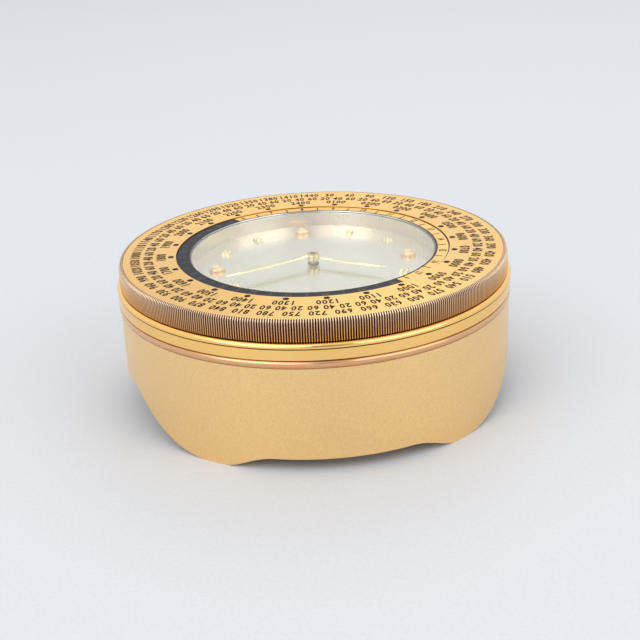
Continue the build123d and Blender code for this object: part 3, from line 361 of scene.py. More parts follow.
def add_node(tree, kind, inputs=None, **options):
    """The outputs of a new shader node with its options, and its inputs as values or sockets."""
    made = tree.nodes.new("ShaderNode" + kind)
    for key, value in options.items():
        setattr(made, key, value)
    for key, value in (inputs or {}).items():
        if isinstance(value, bpy.types.NodeSocket):
            tree.links.new(value, made.inputs[key])
        else:
            made.inputs[key].default_value = value
    return made.outputs


class Finish:
    """A node material under construction, for a metal by default."""

    def __init__(self, name, roughness=0.3, metallic=1.0):
        self.material = bpy.data.materials.new(name)
        self.material.use_nodes = True
        self.tree = self.material.node_tree
        self.shader = self.tree.nodes["Principled BSDF"]
        self.fix("Metallic", metallic)
        self.fix("Roughness", roughness)
        self.place = self.add("TexCoord")["Object"]

    def add(self, kind, inputs=None, **options):
        """The outputs of a new node of this material."""
        return add_node(self.tree, kind, inputs, **options)

    def math(self, operation, first, second=0.0, third=0.0):
        """The result of one sum on sockets or numbers."""
        return self.add("Math", {0: first, 1: second, 2: third}, operation=operation)[0]

    def noise(self, scale, detail=3.0, vector=None):
        """Noise from 0 to 1 over the object's coordinates, or over another vector."""
        inputs = {"Vector": vector or self.place, "Scale": scale, "Detail": detail}
        return self.add("TexNoise", inputs)["Fac"]

    def blend(self, share, first, second):
        """A colour from first at share 0 to second at share 1."""
        first, second = (
            tone if isinstance(tone, bpy.types.NodeSocket) else (*tone, 1)
            for tone in (first, second)
        )
        return self.add("Mix", {0: share, 6: first, 7: second}, data_type="RGBA")[2]

    def mottle(self, share, base, low, high):
        """A base colour from one factor of it at share 0 to another at share 1."""
        return self.blend(share, shade(base, low), shade(base, high))

    def cloud(self, scale, amount, ground, dark):
        """A ground colour with clouds that go up to an amount of the way to a dark one."""
        return self.blend(self.spread(self.noise(scale), 0.0, amount), ground, dark)

    def spread(self, share, low, high):
        """A share from 0 to 1 carried over to the range from low to high."""
        return self.add("MapRange", {"Value": share, "To Min": low, "To Max": high})["Result"]

    def step(self, value, start, end):
        """0 below start and 1 above end, and even in between."""
        return self.add("MapRange", {"Value": value, "From Min": start, "From Max": end})["Result"]

    def choose(self, share, first, second):
        """A number from first at share 0 to second at share 1."""
        return self.add("Mix", {0: share, 2: first, 3: second}, data_type="FLOAT")[0]

    def line(self, value, middle, half):
        """1 on a line round a value, and 0 from half its width away from it."""
        away = self.math("ABSOLUTE", self.math("SUBTRACT", value, middle))
        return self.step(away, half, half * 0.5)

    def outwards(self):
        """The way from the clock's axis, as long as the distance from it."""
        return self.add("VectorMath", {0: self.place, 1: (1, 1, 0)}, operation="MULTIPLY")[0]

    def radius(self):
        """Distance from the clock's axis."""
        return self.add("VectorMath", {0: self.outwards()}, operation="LENGTH")["Value"]

    def axes(self):
        """The object's x, y and z."""
        return self.add("SeparateXYZ", {0: self.place})

    def bearing(self):
        """Bearing about the clock's axis, in radians from -pi to pi."""
        x, y, _ = self.axes()
        return self.math("ARCTAN2", y, x)

    def turned(self, stretch=0.004):
        """A vector for grain that runs round the axis: fine across, long along the turn."""
        around = self.math("MULTIPLY", self.bearing(), stretch)
        return self.add("CombineXYZ", {0: self.radius(), 1: self.axes()[2], 2: around})[0]

    def brushed_round(self, amount):
        """Grain that runs round the axis: highlights are drawn out away from the axis."""
        away = self.add(
            "VectorTransform",
            {0: self.outwards()},
            vector_type="VECTOR",
            convert_from="OBJECT",
            convert_to="WORLD",
        )
        self.paint("Tangent", away[0])
        self.fix("Anisotropic", amount)

    def fix(self, socket, value):
        """Sets a socket of the shader to one value."""
        self.shader.inputs[socket].default_value = value

    def paint(self, socket, value):
        """Feeds a socket of the shader."""
        self.tree.links.new(value, self.shader.inputs[socket])

    def rough(self, share, low, high):
        """Roughness from low at share 0 to high at share 1."""
        self.paint("Roughness", self.spread(share, low, high))

    def bump(self, height, strength, distance):
        """Relief from a height share."""
        inputs = {"Height": height, "Strength": strength, "Distance": distance}
        self.paint("Normal", self.add("Bump", inputs)["Normal"])


def shade(base, factor):
    """A colour made darker or lighter by a factor."""
    return tuple(min(1.0, channel * factor) for channel in base)


def warmed(base, green, blue):
    """A colour with its green and blue cut to shares of what they were."""
    return base[0], base[1] * green, base[2] * blue


def blasted_brass(colours, lip_bottom, seam, grain_scale=1900, cloud_scale=90):
    """Drum: lacquered brass with a fine blasted grain on the wall, a polished lip that is shaded
    as a round bead, and tarnish with painted shade in the fine grooves below and above the lip."""
    finish = Finish("blasted_brass", roughness=0.4, metallic=0.85)
    base = colours.satin_brass
    height = finish.axes()[2]
    grain = finish.noise(grain_scale, 2.0)
    grained = finish.mottle(grain, base, 0.78, 1.12)
    clouded = finish.cloud(cloud_scale, 0.3, grained, shade(base, 0.84))
    soft = 0.05 * MILLIMETRE
    lip = finish.step(height, lip_bottom - soft, lip_bottom + soft)
    # Tarnish and painted shade: dark lines under the lip and just below the seam.
    tarnish_and_groove_shade = finish.math(
        "MAXIMUM",
        finish.line(height, lip_bottom, 0.16 * MILLIMETRE),
        finish.step(height, seam - 0.4 * MILLIMETRE, seam - 0.2 * MILLIMETRE),
    )
    polished = finish.blend(lip, clouded, colours.lip)
    finish.paint("Base Color", finish.blend(tarnish_and_groove_shade, polished, colours.seam))
    satin = finish.spread(grain, 0.3, 0.42)
    finish.paint("Roughness", finish.choose(lip, satin, 0.14))
    half = (seam - lip_bottom) / 2
    across = finish.math("DIVIDE", finish.math("SUBTRACT", height, lip_bottom + half), half)
    bead = finish.math("SUBTRACT", 1.0, finish.math("MULTIPLY", across, across))
    relief = finish.choose(lip, finish.spread(grain, 0.0, 0.1), bead)
    finish.bump(relief, 0.6, 0.5 * MILLIMETRE)
    finish.fix("Coat Weight", 0.35)
    finish.fix("Coat Roughness", 0.25)
    return finish.material


def bright_brass(colours, seam, bead_foot, line_scale=5200, cloud_scale=140):
    """Case ring: polished brass with turned lines, and tarnish with painted shade in the seam and
    under the bead.
    """
    finish = Finish("bright_brass", roughness=0.12)
    base = colours.polished_brass
    height = finish.axes()[2]
    lines = finish.noise(line_scale, 2.0, finish.turned())
    toned = finish.cloud(cloud_scale, 0.4, base, warmed(base, 0.84, 0.68))
    # Tarnish and painted shade: dark lines just above the seam and in the groove under the bead.
    tarnish_and_groove_shade = finish.math(
        "MAXIMUM",
        finish.step(height, seam + 0.24 * MILLIMETRE, seam + 0.14 * MILLIMETRE),
        finish.line(height, bead_foot, 0.24 * MILLIMETRE),
    )
    finish.paint("Base Color", finish.blend(tarnish_and_groove_shade, toned, colours.seam))
    bead = finish.step(height, bead_foot, bead_foot + 0.1 * MILLIMETRE)
    finish.paint("Roughness", finish.choose(bead, finish.spread(lines, 0.12, 0.24), 0.06))
    finish.bump(lines, 0.06, 0.02 * MILLIMETRE)
    return finish.material


def knurled_brass(colours, ridges, foot, crown, patch_scale=260):
    """Bezel: painted shade in the knurl's grooves and worn crests, by the ridges' own wave. The
    crests are warm low down, and turn into a painted highlight as the square of the way up."""
    finish = Finish("knurled_brass", roughness=0.3)
    height = finish.axes()[2]
    wave = finish.math("COSINE", finish.math("MULTIPLY", finish.bearing(), ridges))
    # Painted shade: 0 in a groove, which takes the dark groove colour, and 1 on a worn crest.
    wear_and_groove_shade = finish.step(wave, 0.0, 0.9)
    patch = finish.noise(patch_scale)
    warm = colours.knurl_crest
    # Painted highlight: the crests turn to the pale bevel colour as the square of the way up.
    rise = finish.math("POWER", finish.step(height, foot, crown), 2.0)
    crest = finish.blend(rise, finish.mottle(patch, warm, 0.74, 1.0), colours.bevel_silver)
    finish.paint("Base Color", finish.blend(wear_and_groove_shade, colours.knurl_groove, crest))
    finish.rough(patch, 0.24, 0.4)
    return finish.material


def printed_gold(colours, line_scale=3600, cloud_scale=160):
    """Printed ring: satin gold with circular grain."""
    finish = Finish("printed_gold", roughness=0.4)
    base = colours.ring_gold
    lines = finish.noise(line_scale, 2.0, finish.turned())
    lined = finish.mottle(lines, base, 0.9, 1.08)
    finish.paint("Base Color", finish.cloud(cloud_scale, 0.3, lined, shade(base, 0.82)))
    finish.rough(lines, 0.3, 0.42)
    finish.bump(lines, 0.12, 0.03 * MILLIMETRE)
    finish.brushed_round(0.6)
    return finish.material


def day_and_night(colours, inner, outer, line_scale=3600):
    """Day ring: gold from dawn to dusk, dark blue for the night, with a dark line at its inner
    edge and a painted shadow of the printed ring along its outer edge. It is night where the
    bearing's cosine, from the middle of the night, is above dusk's."""
    finish = Finish("day_and_night", roughness=0.38)
    gold = colours.ring_gold
    lines = finish.noise(line_scale, 2.0, finish.turned())
    day = finish.mottle(lines, gold, 0.9, 1.06)
    middle = math.radians((DAWN_BEARING + DUSK_BEARING) / 2)
    half_night = math.radians((DUSK_BEARING - DAWN_BEARING) / 2)
    x, y, _ = finish.axes()
    along = finish.math("MULTIPLY", x, math.cos(middle))
    along = finish.math("MULTIPLY_ADD", y, math.sin(middle), along)
    aligned = finish.math("DIVIDE", along, finish.radius())
    edge, soft = math.cos(half_night), 0.002
    night_share = finish.step(aligned, edge - soft, edge + soft)
    painted = finish.blend(night_share, day, colours.night)
    line = 0.16 * MILLIMETRE
    # Painted shadow of the printed ring's edge along the outer edge; a plain dark line along the
    # inner edge.
    outer_edge_shadow = finish.step(finish.radius(), outer - line, outer - line * 0.8)
    inside = finish.step(finish.radius(), inner + line, inner + line * 0.8)
    lined = finish.blend(finish.math("MAXIMUM", outer_edge_shadow, inside), painted, colours.ink)
    finish.paint("Base Color", lined)
    finish.paint("Metallic", finish.spread(night_share, 1.0, 0.0))
    finish.paint("Specular IOR Level", finish.spread(night_share, 0.5, 0.12))
    finish.rough(lines, 0.32, 0.46)
    return finish.material


def ink(name, tone, patch_scale=2000):
    """Print: matt enamel, a little uneven."""
    finish = Finish(name, roughness=0.5, metallic=0.0)
    patch = finish.noise(patch_scale, 2.0)
    finish.paint("Base Color", finish.mottle(patch, tone, 0.7, 1.3))
    finish.rough(patch, 0.42, 0.6)
    finish.fix("Specular IOR Level", 0.08)
    return finish.material


def silvered(colours, ray_scale=60, grain_scale=4000):
    """Dial: silvered brass with a fine sunray grain."""
    finish = Finish("silvered", roughness=0.3)
    base = colours.dial_silver
    around = finish.add("CombineXYZ", {0: finish.bearing()})[0]
    ray = finish.noise(ray_scale, 4.0, around)
    grain = finish.noise(grain_scale, 2.0)
    finish.paint("Base Color", finish.mottle(ray, base, 0.94, 1.06))
    finish.rough(ray, 0.16, 0.26)
    finish.bump(grain, 0.05, 0.02 * MILLIMETRE)
    return finish.material


def mirror(name, tone, rough, smear_scale=320):
    """Polished metal with faint smears."""
    finish = Finish(name, roughness=rough)
    smear = finish.noise(smear_scale)
    finish.paint("Base Color", finish.mottle(smear, tone, 0.95, 1.04))
    finish.rough(smear, rough * 0.6, rough * 1.6)
    return finish.material


def rehaut_polish(colours, lip_level, smear_scale=150):
    """Rehaut: polished slope with soft warm smears, and a dark top round the glass."""
    finish = Finish("rehaut_polish", roughness=0.1)
    base = colours.rehaut_silver
    smear = finish.noise(smear_scale, 2.0)
    toned = finish.blend(finish.spread(smear, 0.0, 0.8), base, warmed(base, 0.93, 0.8))
    start, full = lip_level - 0.02 * MILLIMETRE, lip_level - 0.01 * MILLIMETRE
    dark = finish.step(finish.axes()[2], start, full)
    finish.paint("Base Color", finish.blend(dark, toned, colours.ink))
    finish.rough(smear, 0.22, 0.34)
    return finish.material


def turned_metal(name, tone, rough=0.34, grain_scale=3000, cloud_scale=200):
    """Wheels, plates and screws: metal with a fine grain and faint clouds."""
    finish = Finish(name, roughness=rough)
    grain = finish.noise(grain_scale, 2.0)
    toned = finish.cloud(cloud_scale, 0.4, tone, shade(tone, 0.82))
    finish.paint("Base Color", finish.blend(grain, shade(tone, 0.93), toned))
    finish.rough(grain, rough * 0.8, rough * 1.25)
    finish.bump(grain, 0.1, 0.03 * MILLIMETRE)
    return finish.material


def clear_glass(smear_scale=120):
    """Crystal: clear glass that lets the light through to the dial."""
    finish = Finish("clear_glass", roughness=0.02, metallic=0.0)
    finish.fix("Base Color", (1, 1, 1, 1))
    finish.fix("Transmission Weight", 1.0)
    finish.fix("IOR", 1.46)
    finish.rough(finish.noise(smear_scale, 2.0), 0.0, 0.03)
    shadow = finish.add("LightPath")["Is Shadow Ray"]
    clear = finish.add("BsdfTransparent")[0]
    mixed = finish.add("MixShader", {0: shadow, 1: finish.shader.outputs[0], 2: clear})[0]
    out = finish.tree.nodes["Material Output"]
    finish.tree.links.new(mixed, out.inputs["Surface"])
    return finish.material


def nylon(tone, grain_scale=1500):
    """Gasket: white nylon."""
    finish = Finish("nylon", roughness=0.5, metallic=0.0)
    grain = finish.noise(grain_scale, 2.0)
    finish.paint("Base Color", finish.mottle(grain, tone, 0.94, 1.0))
    return finish.material


def dress(material, names):
    """Gives a finish to the carried-over CAD nodes that a string names."""
    for name in names.split():
        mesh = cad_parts[name].data
        mesh.materials.clear()
        mesh.materials.append(material)


# Pieces


def arc(radius, level, width, height, start, end, steps=9):
    """Points of radius and height on an ellipse about a radius and a level, from one angle in
    degrees to another, with 0 outwards and 90 upwards."""
    way = np.radians(np.linspace(start, end, steps))
    return np.stack([radius + width * np.cos(way), level + height * np.sin(way)], axis=-1)


def wire_groove(edge, depth, half, level):
    """Corners of the spring wire's groove in a wall, from its lower edge to its upper one."""
    return [
        (edge, level - half),
        (edge + depth, level - half),
        (edge + depth, level + half),
        (edge, level + half),
    ]


def wire_place(sizes):
    """Level of the spring wire, and half the height of the grooves that it lies in."""
    low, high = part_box("bezel_wire")
    return (low.z + high.z) / 2, (high.z - low.z) / 2 + sizes.wire_play


class CLOCK_OT_bezel(bpy.types.Operator):
    """Bezel with its real knurl: hundreds of fine ridges that run out over a rounded edge"""

    bl_idname = "clock.bezel"
    bl_label = "Knurled bezel"

    def execute(self, context):
        sizes, colours = settings(context)
        outer, foot, crown = rim("bezel"), bottom("bezel"), top("bezel")
        ring_wall = rim("world_ring") + sizes.ring_clearance
        ring_edge = rim("world_ring") + sizes.ring_inset
        bore = outer - sizes.bezel_wall
        web = bore - sizes.bezel_reach
        seat = bottom("world_ring")
        edge_low = crown - sizes.edge_height
        wire_level, wire_half = wire_place(sizes)
        profile = [
            (bore, foot),
            (outer - sizes.chamfer, foot),
            (outer, foot + sizes.chamfer),
            *arc(ring_edge, edge_low, outer - ring_edge, sizes.edge_height, 0, 90, 13),
            (ring_wall + sizes.chamfer / 2, crown),
            (ring_wall, crown - sizes.chamfer / 2),
            (ring_wall, seat),
            (web, seat),
            (web, seat - sizes.bezel_web),
            (bore, seat - sizes.bezel_web),
            *wire_groove(bore, wire_half, wire_half, wire_level)[::-1],
        ]
        # The radius falls by the wave times the depth, which runs out towards the printed ring
        radii, heights = np.split(np.array(profile), 2, axis=1)
        wave = np.tile(RIDGE_WAVE, sizes.ridge_count)
        depth = np.clip(radii - ring_edge, 0, sizes.ridge_depth)
        shape = turned_shape(radii - depth * wave, heights, whole_turn(wave.size))
        finish = knurled_brass(colours, sizes.ridge_count, foot, crown)
        place_mesh("bezel_knurled", shape, finish, "bezel", "bezel", 25)
        return {"FINISHED"}


class CLOCK_OT_case_ring(bpy.types.Operator):
    """Case ring with its round bead, and a fine groove below the bead"""

    bl_idname = "clock.case_ring"
    bl_label = "Case ring"

    def execute(self, context):
        sizes, colours = settings(context)
        outer, band, spigot = rim("case_ring"), rim("case_drum"), rim("base_plate")
        crown, foot = top("case_ring"), bottom("case_ring")
        seam, plate, skirt = top("case_drum"), top("front_plate"), bottom("day_ring_carrier")
        shoulder = bottom("bezel") - sizes.bezel_gap
        rail = rim("bezel") - sizes.bezel_wall - sizes.rail_fit
        flange = rim("day_ring_carrier") + sizes.flange_gap
        bead_foot = shoulder - sizes.bead_height
        under, over = sizes.bead_groove, sizes.bead_round
        wire_level, wire_half = wire_place(sizes)
        profile = [
            (flange, plate),
            (spigot - sizes.spigot_wall, plate),
            (spigot - sizes.spigot_wall, foot),
            (spigot, foot),
            (spigot, seam),
            (band - sizes.seam_groove, seam),
            (band, seam + sizes.seam_groove),
            (band, bead_foot - under / 2),
            *arc(outer - under, bead_foot + under, under, under, -90, 0, 6),
            *arc(outer - over, shoulder - over, over, over, 0, 90, 13),
            (rail, shoulder),
            *wire_groove(rail, -wire_half, wire_half, wire_level),
            (rail, crown),
            (rail - sizes.rail_width, crown),
            (rail - sizes.rail_width, skirt),
            (flange, skirt),
        ]
        shape = plain_turned(profile, BAND_STEPS)
        finish = bright_brass(colours, seam, bead_foot)
        place_mesh("case_ring_beaded", shape, finish, "case", "case_ring", 30)
        return {"FINISHED"}


class CLOCK_OT_glass(bpy.types.Operator):
    """Glass: a flat disc with a fine broken edge"""

    bl_idname = "clock.glass"
    bl_label = "Glass"

    def execute(self, context):
        edge = settings(context)[0].glass_edge
        outer, low, high = rim("crystal"), bottom("crystal"), top("crystal")
        profile = [(0, low), (outer, low), (outer, high - edge), (outer - edge, high), (0, high)]
        shape = plain_turned(profile, PLATE_STEPS)
        place_mesh("glass_disc", shape, clear_glass(), "case", "crystal", 30)
        return {"FINISHED"}


class CLOCK_OT_printed_ring(bpy.types.Operator):
    """Printed ring of the bezel: a gold plate with dots and three rows of plain figures"""

    bl_idname = "clock.printed_ring"
    bl_label = "Printed ring"

    def execute(self, context):
        sizes, colours = settings(context)
        outer, inner = rim("world_ring"), rim("day_ring") + sizes.ring_gap
        low, edge = bottom("world_ring"), sizes.plate_edge
        level = top("world_ring") - sizes.ring_sink
        profile = [
            (inner, low),
            (outer, low),
            (outer, level - edge),
            (outer - edge, level),
            (inner + edge, level),
            (inner, level - edge),
        ]
        plate, gold = plain_turned(profile, PLATE_STEPS), printed_gold(colours)
        place_mesh("world_ring_plate", plate, gold, "bezel", "world_ring", 25)
        black = ink("ring_ink", colours.ink)
        shapes, rows, dots = figure_shapes(), [], []
        for step in range(HOURS):
            bearing = NOON_BEARING - HOUR_ANGLE * step
            hour = (RING_HOUR + step) % HOURS or HOURS
            for side, earlier in ((-1, MINUTES // 2), (1, 0)):
                words = str(MINUTES * hour - earlier)
                rows.append((words, bearing - side * HOUR_ANGLE / 4, sizes.outer_row))
            for third in (1, 2, 3):
                words = str(third * MINUTES // 3)
                rows.append((words, bearing - (third - 2) * HOUR_ANGLE / 3, sizes.middle_row))
            rows.append((f"{hour:02d}00", bearing, sizes.inner_row))
            dots.append(dot(sizes.dot_circle, bearing, sizes.dot_radius, level, sizes.ink_height))
        figures = [
            curved_figures(
                shapes, *row, sizes.figure_height, RING_FIGURES, level, sizes.ink_height
            )
            for row in rows
        ]
        place_mesh("world_ring_figures", join(figures), black, "bezel")
        place_mesh("world_ring_dots", join(dots), black, "bezel")
        return {"FINISHED"}


def figure_shapes():
    """Solid shapes of the plain figures 0 to 9: points with x about the middle, y from 0 to 1 over
    the figure's height and z from 0 to 1 through the ink, and their faces."""
    shapes = {}
    for figure in "0123456789":
        words = bpy.data.curves.new("figure", "FONT")
        words.body = figure
        words.resolution_u = 3
        words.extrude = 0.5
        words.offset = 0.03
        holder = bpy.data.objects.new("figure", words)
        mesh = bpy.data.meshes.new_from_object(holder)
        points = mesh_points(mesh)
        low, high = points.min(axis=0), points.max(axis=0)
        points -= ((low[0] + high[0]) / 2, low[1], -words.extrude)
        points[:, :2] /= high[1] - low[1]
        shapes[figure] = points, [list(face.vertices) for face in mesh.polygons]
        bpy.data.objects.remove(holder)
        bpy.data.curves.remove(words)
        bpy.data.meshes.remove(mesh)
    return shapes


def curved_figures(shapes, words, bearing, radius, height, shares, level, ink_height):
    """Figures laid round the ring with their feet towards the axis: a figure's x becomes an angle
    at the middle of the row and its y a distance from the axis."""
    width, pitch = shares
    parts = []
    for place, figure in enumerate(words):
        points, faces = shapes[figure]
        along = (place - (len(words) - 1) / 2) * pitch * height + points[:, 0] * height * width
        turn = math.radians(bearing) - along / (radius + height / 2)
        out = radius + points[:, 1] * height
        lifted = level + points[:, 2] * ink_height
        parts.append((np.stack([out * np.cos(turn), out * np.sin(turn), lifted], axis=-1), faces))
    return join(parts)


def dot(circle, bearing, radius, level, ink_height):
    """A low round dot: a disc with a soft edge at a bearing on a circle."""
    profile = np.array([(0, 0), (1, 0), (1, 0.5), (0.94, 1), (0, 1)]) * (radius, ink_height)
    return plain_turned(profile + (0, level), DOT_STEPS, on_circle(circle, bearing))


class CLOCK_OT_day_ring(bpy.types.Operator):
    """Day ring: its finish, the hours 1 to 24 and a tick at each half hour"""

    bl_idname = "clock.day_ring"
    bl_label = "Day ring"

    def execute(self, context):
        sizes, colours = settings(context)
        level, outer, ink_height = top("day_ring"), rim("day_ring"), sizes.ink_height
        inner = outer - sizes.day_ring_width
        row = inner + (sizes.day_ring_width - sizes.hour_height) / 2
        span = inner + sizes.tick_foot, outer - sizes.tick_head
        dress(day_and_night(colours, inner, outer), "day_ring")
        shapes, parts = figure_shapes(), []
        for hour in range(1, HOURS + 1):
            bearing = (NOON_BEARING - HOUR_ANGLE * (hour - NOON)) % 360
            half = (bearing - HOUR_ANGLE / 2) % 360
            place = bearing, row, sizes.hour_height, DAY_FIGURES
            figures = curved_figures(shapes, str(hour), *place, level, ink_height)
            mark = tick(span, sizes.tick_width, half, level, ink_height)
            parts += [(bearing, figures), (half, mark)]
        for name, dark, tone in (
            ("day_figures", False, colours.ink),
            ("night_figures", True, colours.pale_ink),
        ):
            side = [part for at, part in parts if (DAWN_BEARING < at < DUSK_BEARING) == dark]
            place_mesh(name, join(side), ink(name, tone), "day_ring")
        return {"FINISHED"}


def tick(span, width, bearing, level, ink_height):
    """A short radial line: a flat box whose corners are a radius along the bearing, plus or minus
    half the width across it."""
    along, across = on_circle(1, bearing), on_circle(width / 2, bearing + 90)
    near, far = span
    reach, side = np.array([near, far, far, near]), np.array([-1, -1, 1, 1])
    flat = np.outer(reach, along) + np.outer(side, across)
    base = np.column_stack([flat, np.full(len(flat), level)])
    faces = [[3, 2, 1, 0], [4, 5, 6, 7], [0, 1, 5, 4], [1, 2, 6, 5], [2, 3, 7, 6], [3, 0, 4, 7]]
    return np.concatenate([base, base + (0, 0, ink_height)]), faces


class CLOCK_OT_hands(bpy.types.Operator):
    """Hands and their nut: gilt leaves with a crease along the middle, on round bosses"""

    bl_idname = "clock.hands"
    bl_label = "Hands"

    def execute(self, context):
        sizes, colours = settings(context)
        gilt = mirror("gilt", colours.gilt, 0.16)
        recess, pipe, edge = sizes.cup_radius, sizes.minute_pipe, sizes.chamfer
        bore = sizes.hour_pipe
        for node, bearing, width, *hole in (
            ("hour_hand", HOUR_HAND_BEARING, sizes.hour_width, bore, bore),
            ("minute_hand", MINUTE_HAND_BEARING, sizes.minute_width, recess, pipe),
        ):
            low, high = bottom(node), top(node)
            span = sizes.hand_root, hand_reach(node)
            blade = leaf(span, width, high - sizes.hand_thickness, high, math.radians(bearing))
            boss = cup(sizes.boss_radius, *hole, low, high, edge)
            place_mesh(node + "_leaf", join([blade, boss]), gilt, node, node, 20)
        nut = cup(rim("hand_nut"), recess, pipe, bottom("hand_nut"), top("hand_nut"), edge)
        warm = mirror("nut_gilt", colours.nut, 0.2)
        place_mesh("hand_nut_cup", nut, warm, "minute_hand", "hand_nut", 20)
        return {"FINISHED"}


def hand_reach(node):
    """Length of a hand: the farthest point of its CAD solid from the axis."""
    points = mesh_points(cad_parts[node].data)
    return float(np.hypot(points[:, 0], points[:, 1]).max())


def leaf(span, width, low, high, turn, fullness=0.8, shoulder=0.3, tip=0.05):
    """A leaf-shaped blade between two distances. Its width rises from half of the full one to all
    of it and falls back, as the sine of half a turn times the way along, where the way along and
    the sine are both raised to the fullness. It narrows evenly over the tip. Its section is a low
    roof with a ridge along the middle."""
    along = np.linspace(0, 1, 49)[:, None]
    half = width / 2 * (0.5 + 0.5 * np.sin(np.pi * along**fullness) ** fullness)
    half = half * np.clip((1 - along) / tip, tip, 1)
    side = np.array([-1, -1, 0, 1, 1, 0])
    lift = np.array([0, shoulder, 1, shoulder, 0, 0])
    distance = span[0] + (span[1] - span[0]) * along + 0 * side
    across = half * side
    height = low + (high - low) * lift + 0 * along
    x = distance * math.cos(turn) - across * math.sin(turn)
    y = distance * math.sin(turn) + across * math.cos(turn)
    points = np.stack([x, y, height], axis=-1)
    rows, columns = points.shape[:2]
    faces = loop_faces(rows, columns)[: (rows - 1) * columns]
    caps = [list(range(columns)), list(range((rows - 1) * columns, rows * columns))]
    return points, faces.tolist() + caps


def cup(outer, recess, pipe, low, high, edge):
    """A round boss on a pipe, with broken edges, and a recess in its top if that is wider."""
    floor = (low + high) / 2 if recess > pipe else high - edge
    profile = [
        (pipe, low),
        (outer, low),
        (outer, high - edge),
        (outer - edge, high),
        (recess + edge, high),
        (recess, high - edge),
        (recess, floor),
        (pipe, floor),
    ]
    return plain_turned(profile, BOSS_STEPS)


class CLOCK_OT_markers(bpy.types.Operator):
    """Hour marks: gilt rosettes at the quarters, and the finish of the small marks between"""

    bl_idname = "clock.markers"
    bl_label = "Hour marks"

    def execute(self, context):
        sizes, colours = settings(context)
        low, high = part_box("large_markers")
        radius, rise = sizes.rosette_radius, high.z - low.z
        # Radius, height and share of the lobes at each corner of the section, from 0 to 1
        middle = [(0.0, 0.9, 0), (0.22, 0.88, 0), (0.3, 0.72, 0), (0.38, 0.7, 0)]
        collar = [(0.46, 0.92, 0), (0.6, 1.0, 0), (0.74, 0.94, 0.3), (0.8, 0.74, 0.6)]
        petals = [(0.86, 0.7, 1), (0.96, 0.62, 1), (1.0, 0.4, 1), (1.0, 0.0, 1), (0.0, 0.0, 0)]
        profile = np.array(middle + collar + petals)
        # Between the lobes, radius and height fall by a share that goes as a raised cosine
        lobes, notch, dip = 8, 0.09, 0.16
        bearings = whole_turn(lobes * 10)
        fall = profile[:, 2:] * (0.5 - 0.5 * np.cos(lobes * bearings))
        radii = radius * profile[:, :1] * (1 - notch * fall)
        heights = low.z + rise * profile[:, 1:2] * (1 - dip * fall)
        parts = [
            turned_shape(radii, heights, bearings, on_circle(high.x - radius, bearing))
            for bearing in MARKER_BEARINGS
        ]
        gilt = mirror("rosette_gilt", colours.rosette, 0.22)
        place_mesh("rosettes", join(parts), gilt, "case", "large_markers", 30)
        dress(mirror("marker_gilt", colours.gilt, 0.26), "small_markers")
        return {"FINISHED"}


class CLOCK_OT_case(bpy.types.Operator):
    """Finishes of the drum, dial and rehaut that are carried over from the frame"""

    bl_idname = "clock.case"
    bl_label = "Case finishes"

    def execute(self, context):
        sizes, colours = settings(context)
        seam = top("case_drum")
        dress(blasted_brass(colours, seam - sizes.lip_height, seam), "case_drum")
        dress(silvered(colours), "dial")
        dress(rehaut_polish(colours, top("rehaut")), "rehaut")
        dress(nylon(colours.dial_silver), "crystal_gasket")
        # Painted shade: the washer and the pipe under the hands take the dark shadowed brass.
        pipe = turned_metal("shadowed_brass", colours.shadowed, 0.5)
        dress(pipe, "dial_washer cannon_pinion")
        return {"FINISHED"}


class CLOCK_OT_movement(bpy.types.Operator):
    """Finishes of the movement, the base and the winding and setting work"""

    bl_idname = "clock.movement"
    bl_label = "Movement finishes"

    def execute(self, context):
        colours = settings(context)[1]
        dress(
            turned_metal("movement_brass", colours.movement_brass),
            "front_plate back_plate barrel barrel_cover centre_wheel third_wheel fourth_wheel "
            "hour_wheel minute_wheel transfer_wheel day_ring_carrier balance_wheel balance_cock "
            "pillars dial_pillars case_posts base_plate",
        )
        dress(
            turned_metal("plain_steel", colours.steel, 0.28),
            "plate_screws holder_screws base_screws case_screws cock_screw minute_post "
            "transfer_post click_post setting_arbor barrel_arbor ratchet_wheel click regulator "
            "escape_wheel pallet_fork",
        )
        dress(turned_metal("oiled_steel", colours.dark_steel), "bezel_wire")
        springs = turned_metal("blued_steel", colours.blued_steel, 0.24)
        dress(springs, "mainspring hairspring click_spring")
        key = mirror("key_brass", colours.polished_brass, 0.2)
        dress(key, "winding_key setting_knob")
        return {"FINISHED"}


class CLOCK_OT_stage(bpy.types.Operator):
    """Pale floor, soft studio light and the camera at the photograph's angle"""

    bl_idname = "clock.stage"
    bl_label = "Stage"

    def execute(self, context):
        stage = context.scene.clock_stage
        scene = context.scene
        scene.view_settings.view_transform = "Standard"
        add_floor(stage)
        add_world(stage)
        for name, place, diameter, share in LAMPS:
            add_lamp(name, place, diameter, stage.lamp * share)
        lens = bpy.data.cameras.new("camera")
        lens.lens = stage.lens
        lens.sensor_width = SENSOR_WIDTH
        lens.clip_start = NEAR_LIMIT
        camera = bpy.data.objects.new("camera", lens)
        scene.collection.objects.link(camera)
        camera.matrix_world = (
            Matrix.Translation(stage.place)
            @ Matrix.Rotation(stage.turn, 4, "Z")
            @ Matrix.Rotation(math.pi / 2 - stage.tilt, 4, "X")
            @ Matrix.Rotation(stage.roll, 4, "Z")
        )
        scene.camera = camera
        return {"FINISHED"}


def add_floor(stage, speck_scale=900):
    """A wide round table top just below the feet, in a plain pale finish."""
    points, faces = plain_turned([(0, 0), (FLOOR_RADIUS, 0)], FLOOR_STEPS)
    mesh = bpy.data.meshes.new("floor")
    mesh.from_pydata(points.reshape(-1, 3), [], faces[:FLOOR_STEPS].tolist())
    finish = Finish("table_top", roughness=0.6, metallic=0.0)
    speck = finish.noise(speck_scale, 2.0)
    finish.paint("Base Color", finish.mottle(speck, stage.floor, 0.94, 1.06))
    mesh.materials.append(finish.material)
    floor = bpy.data.objects.new("floor", mesh)
    bpy.context.scene.collection.objects.link(floor)


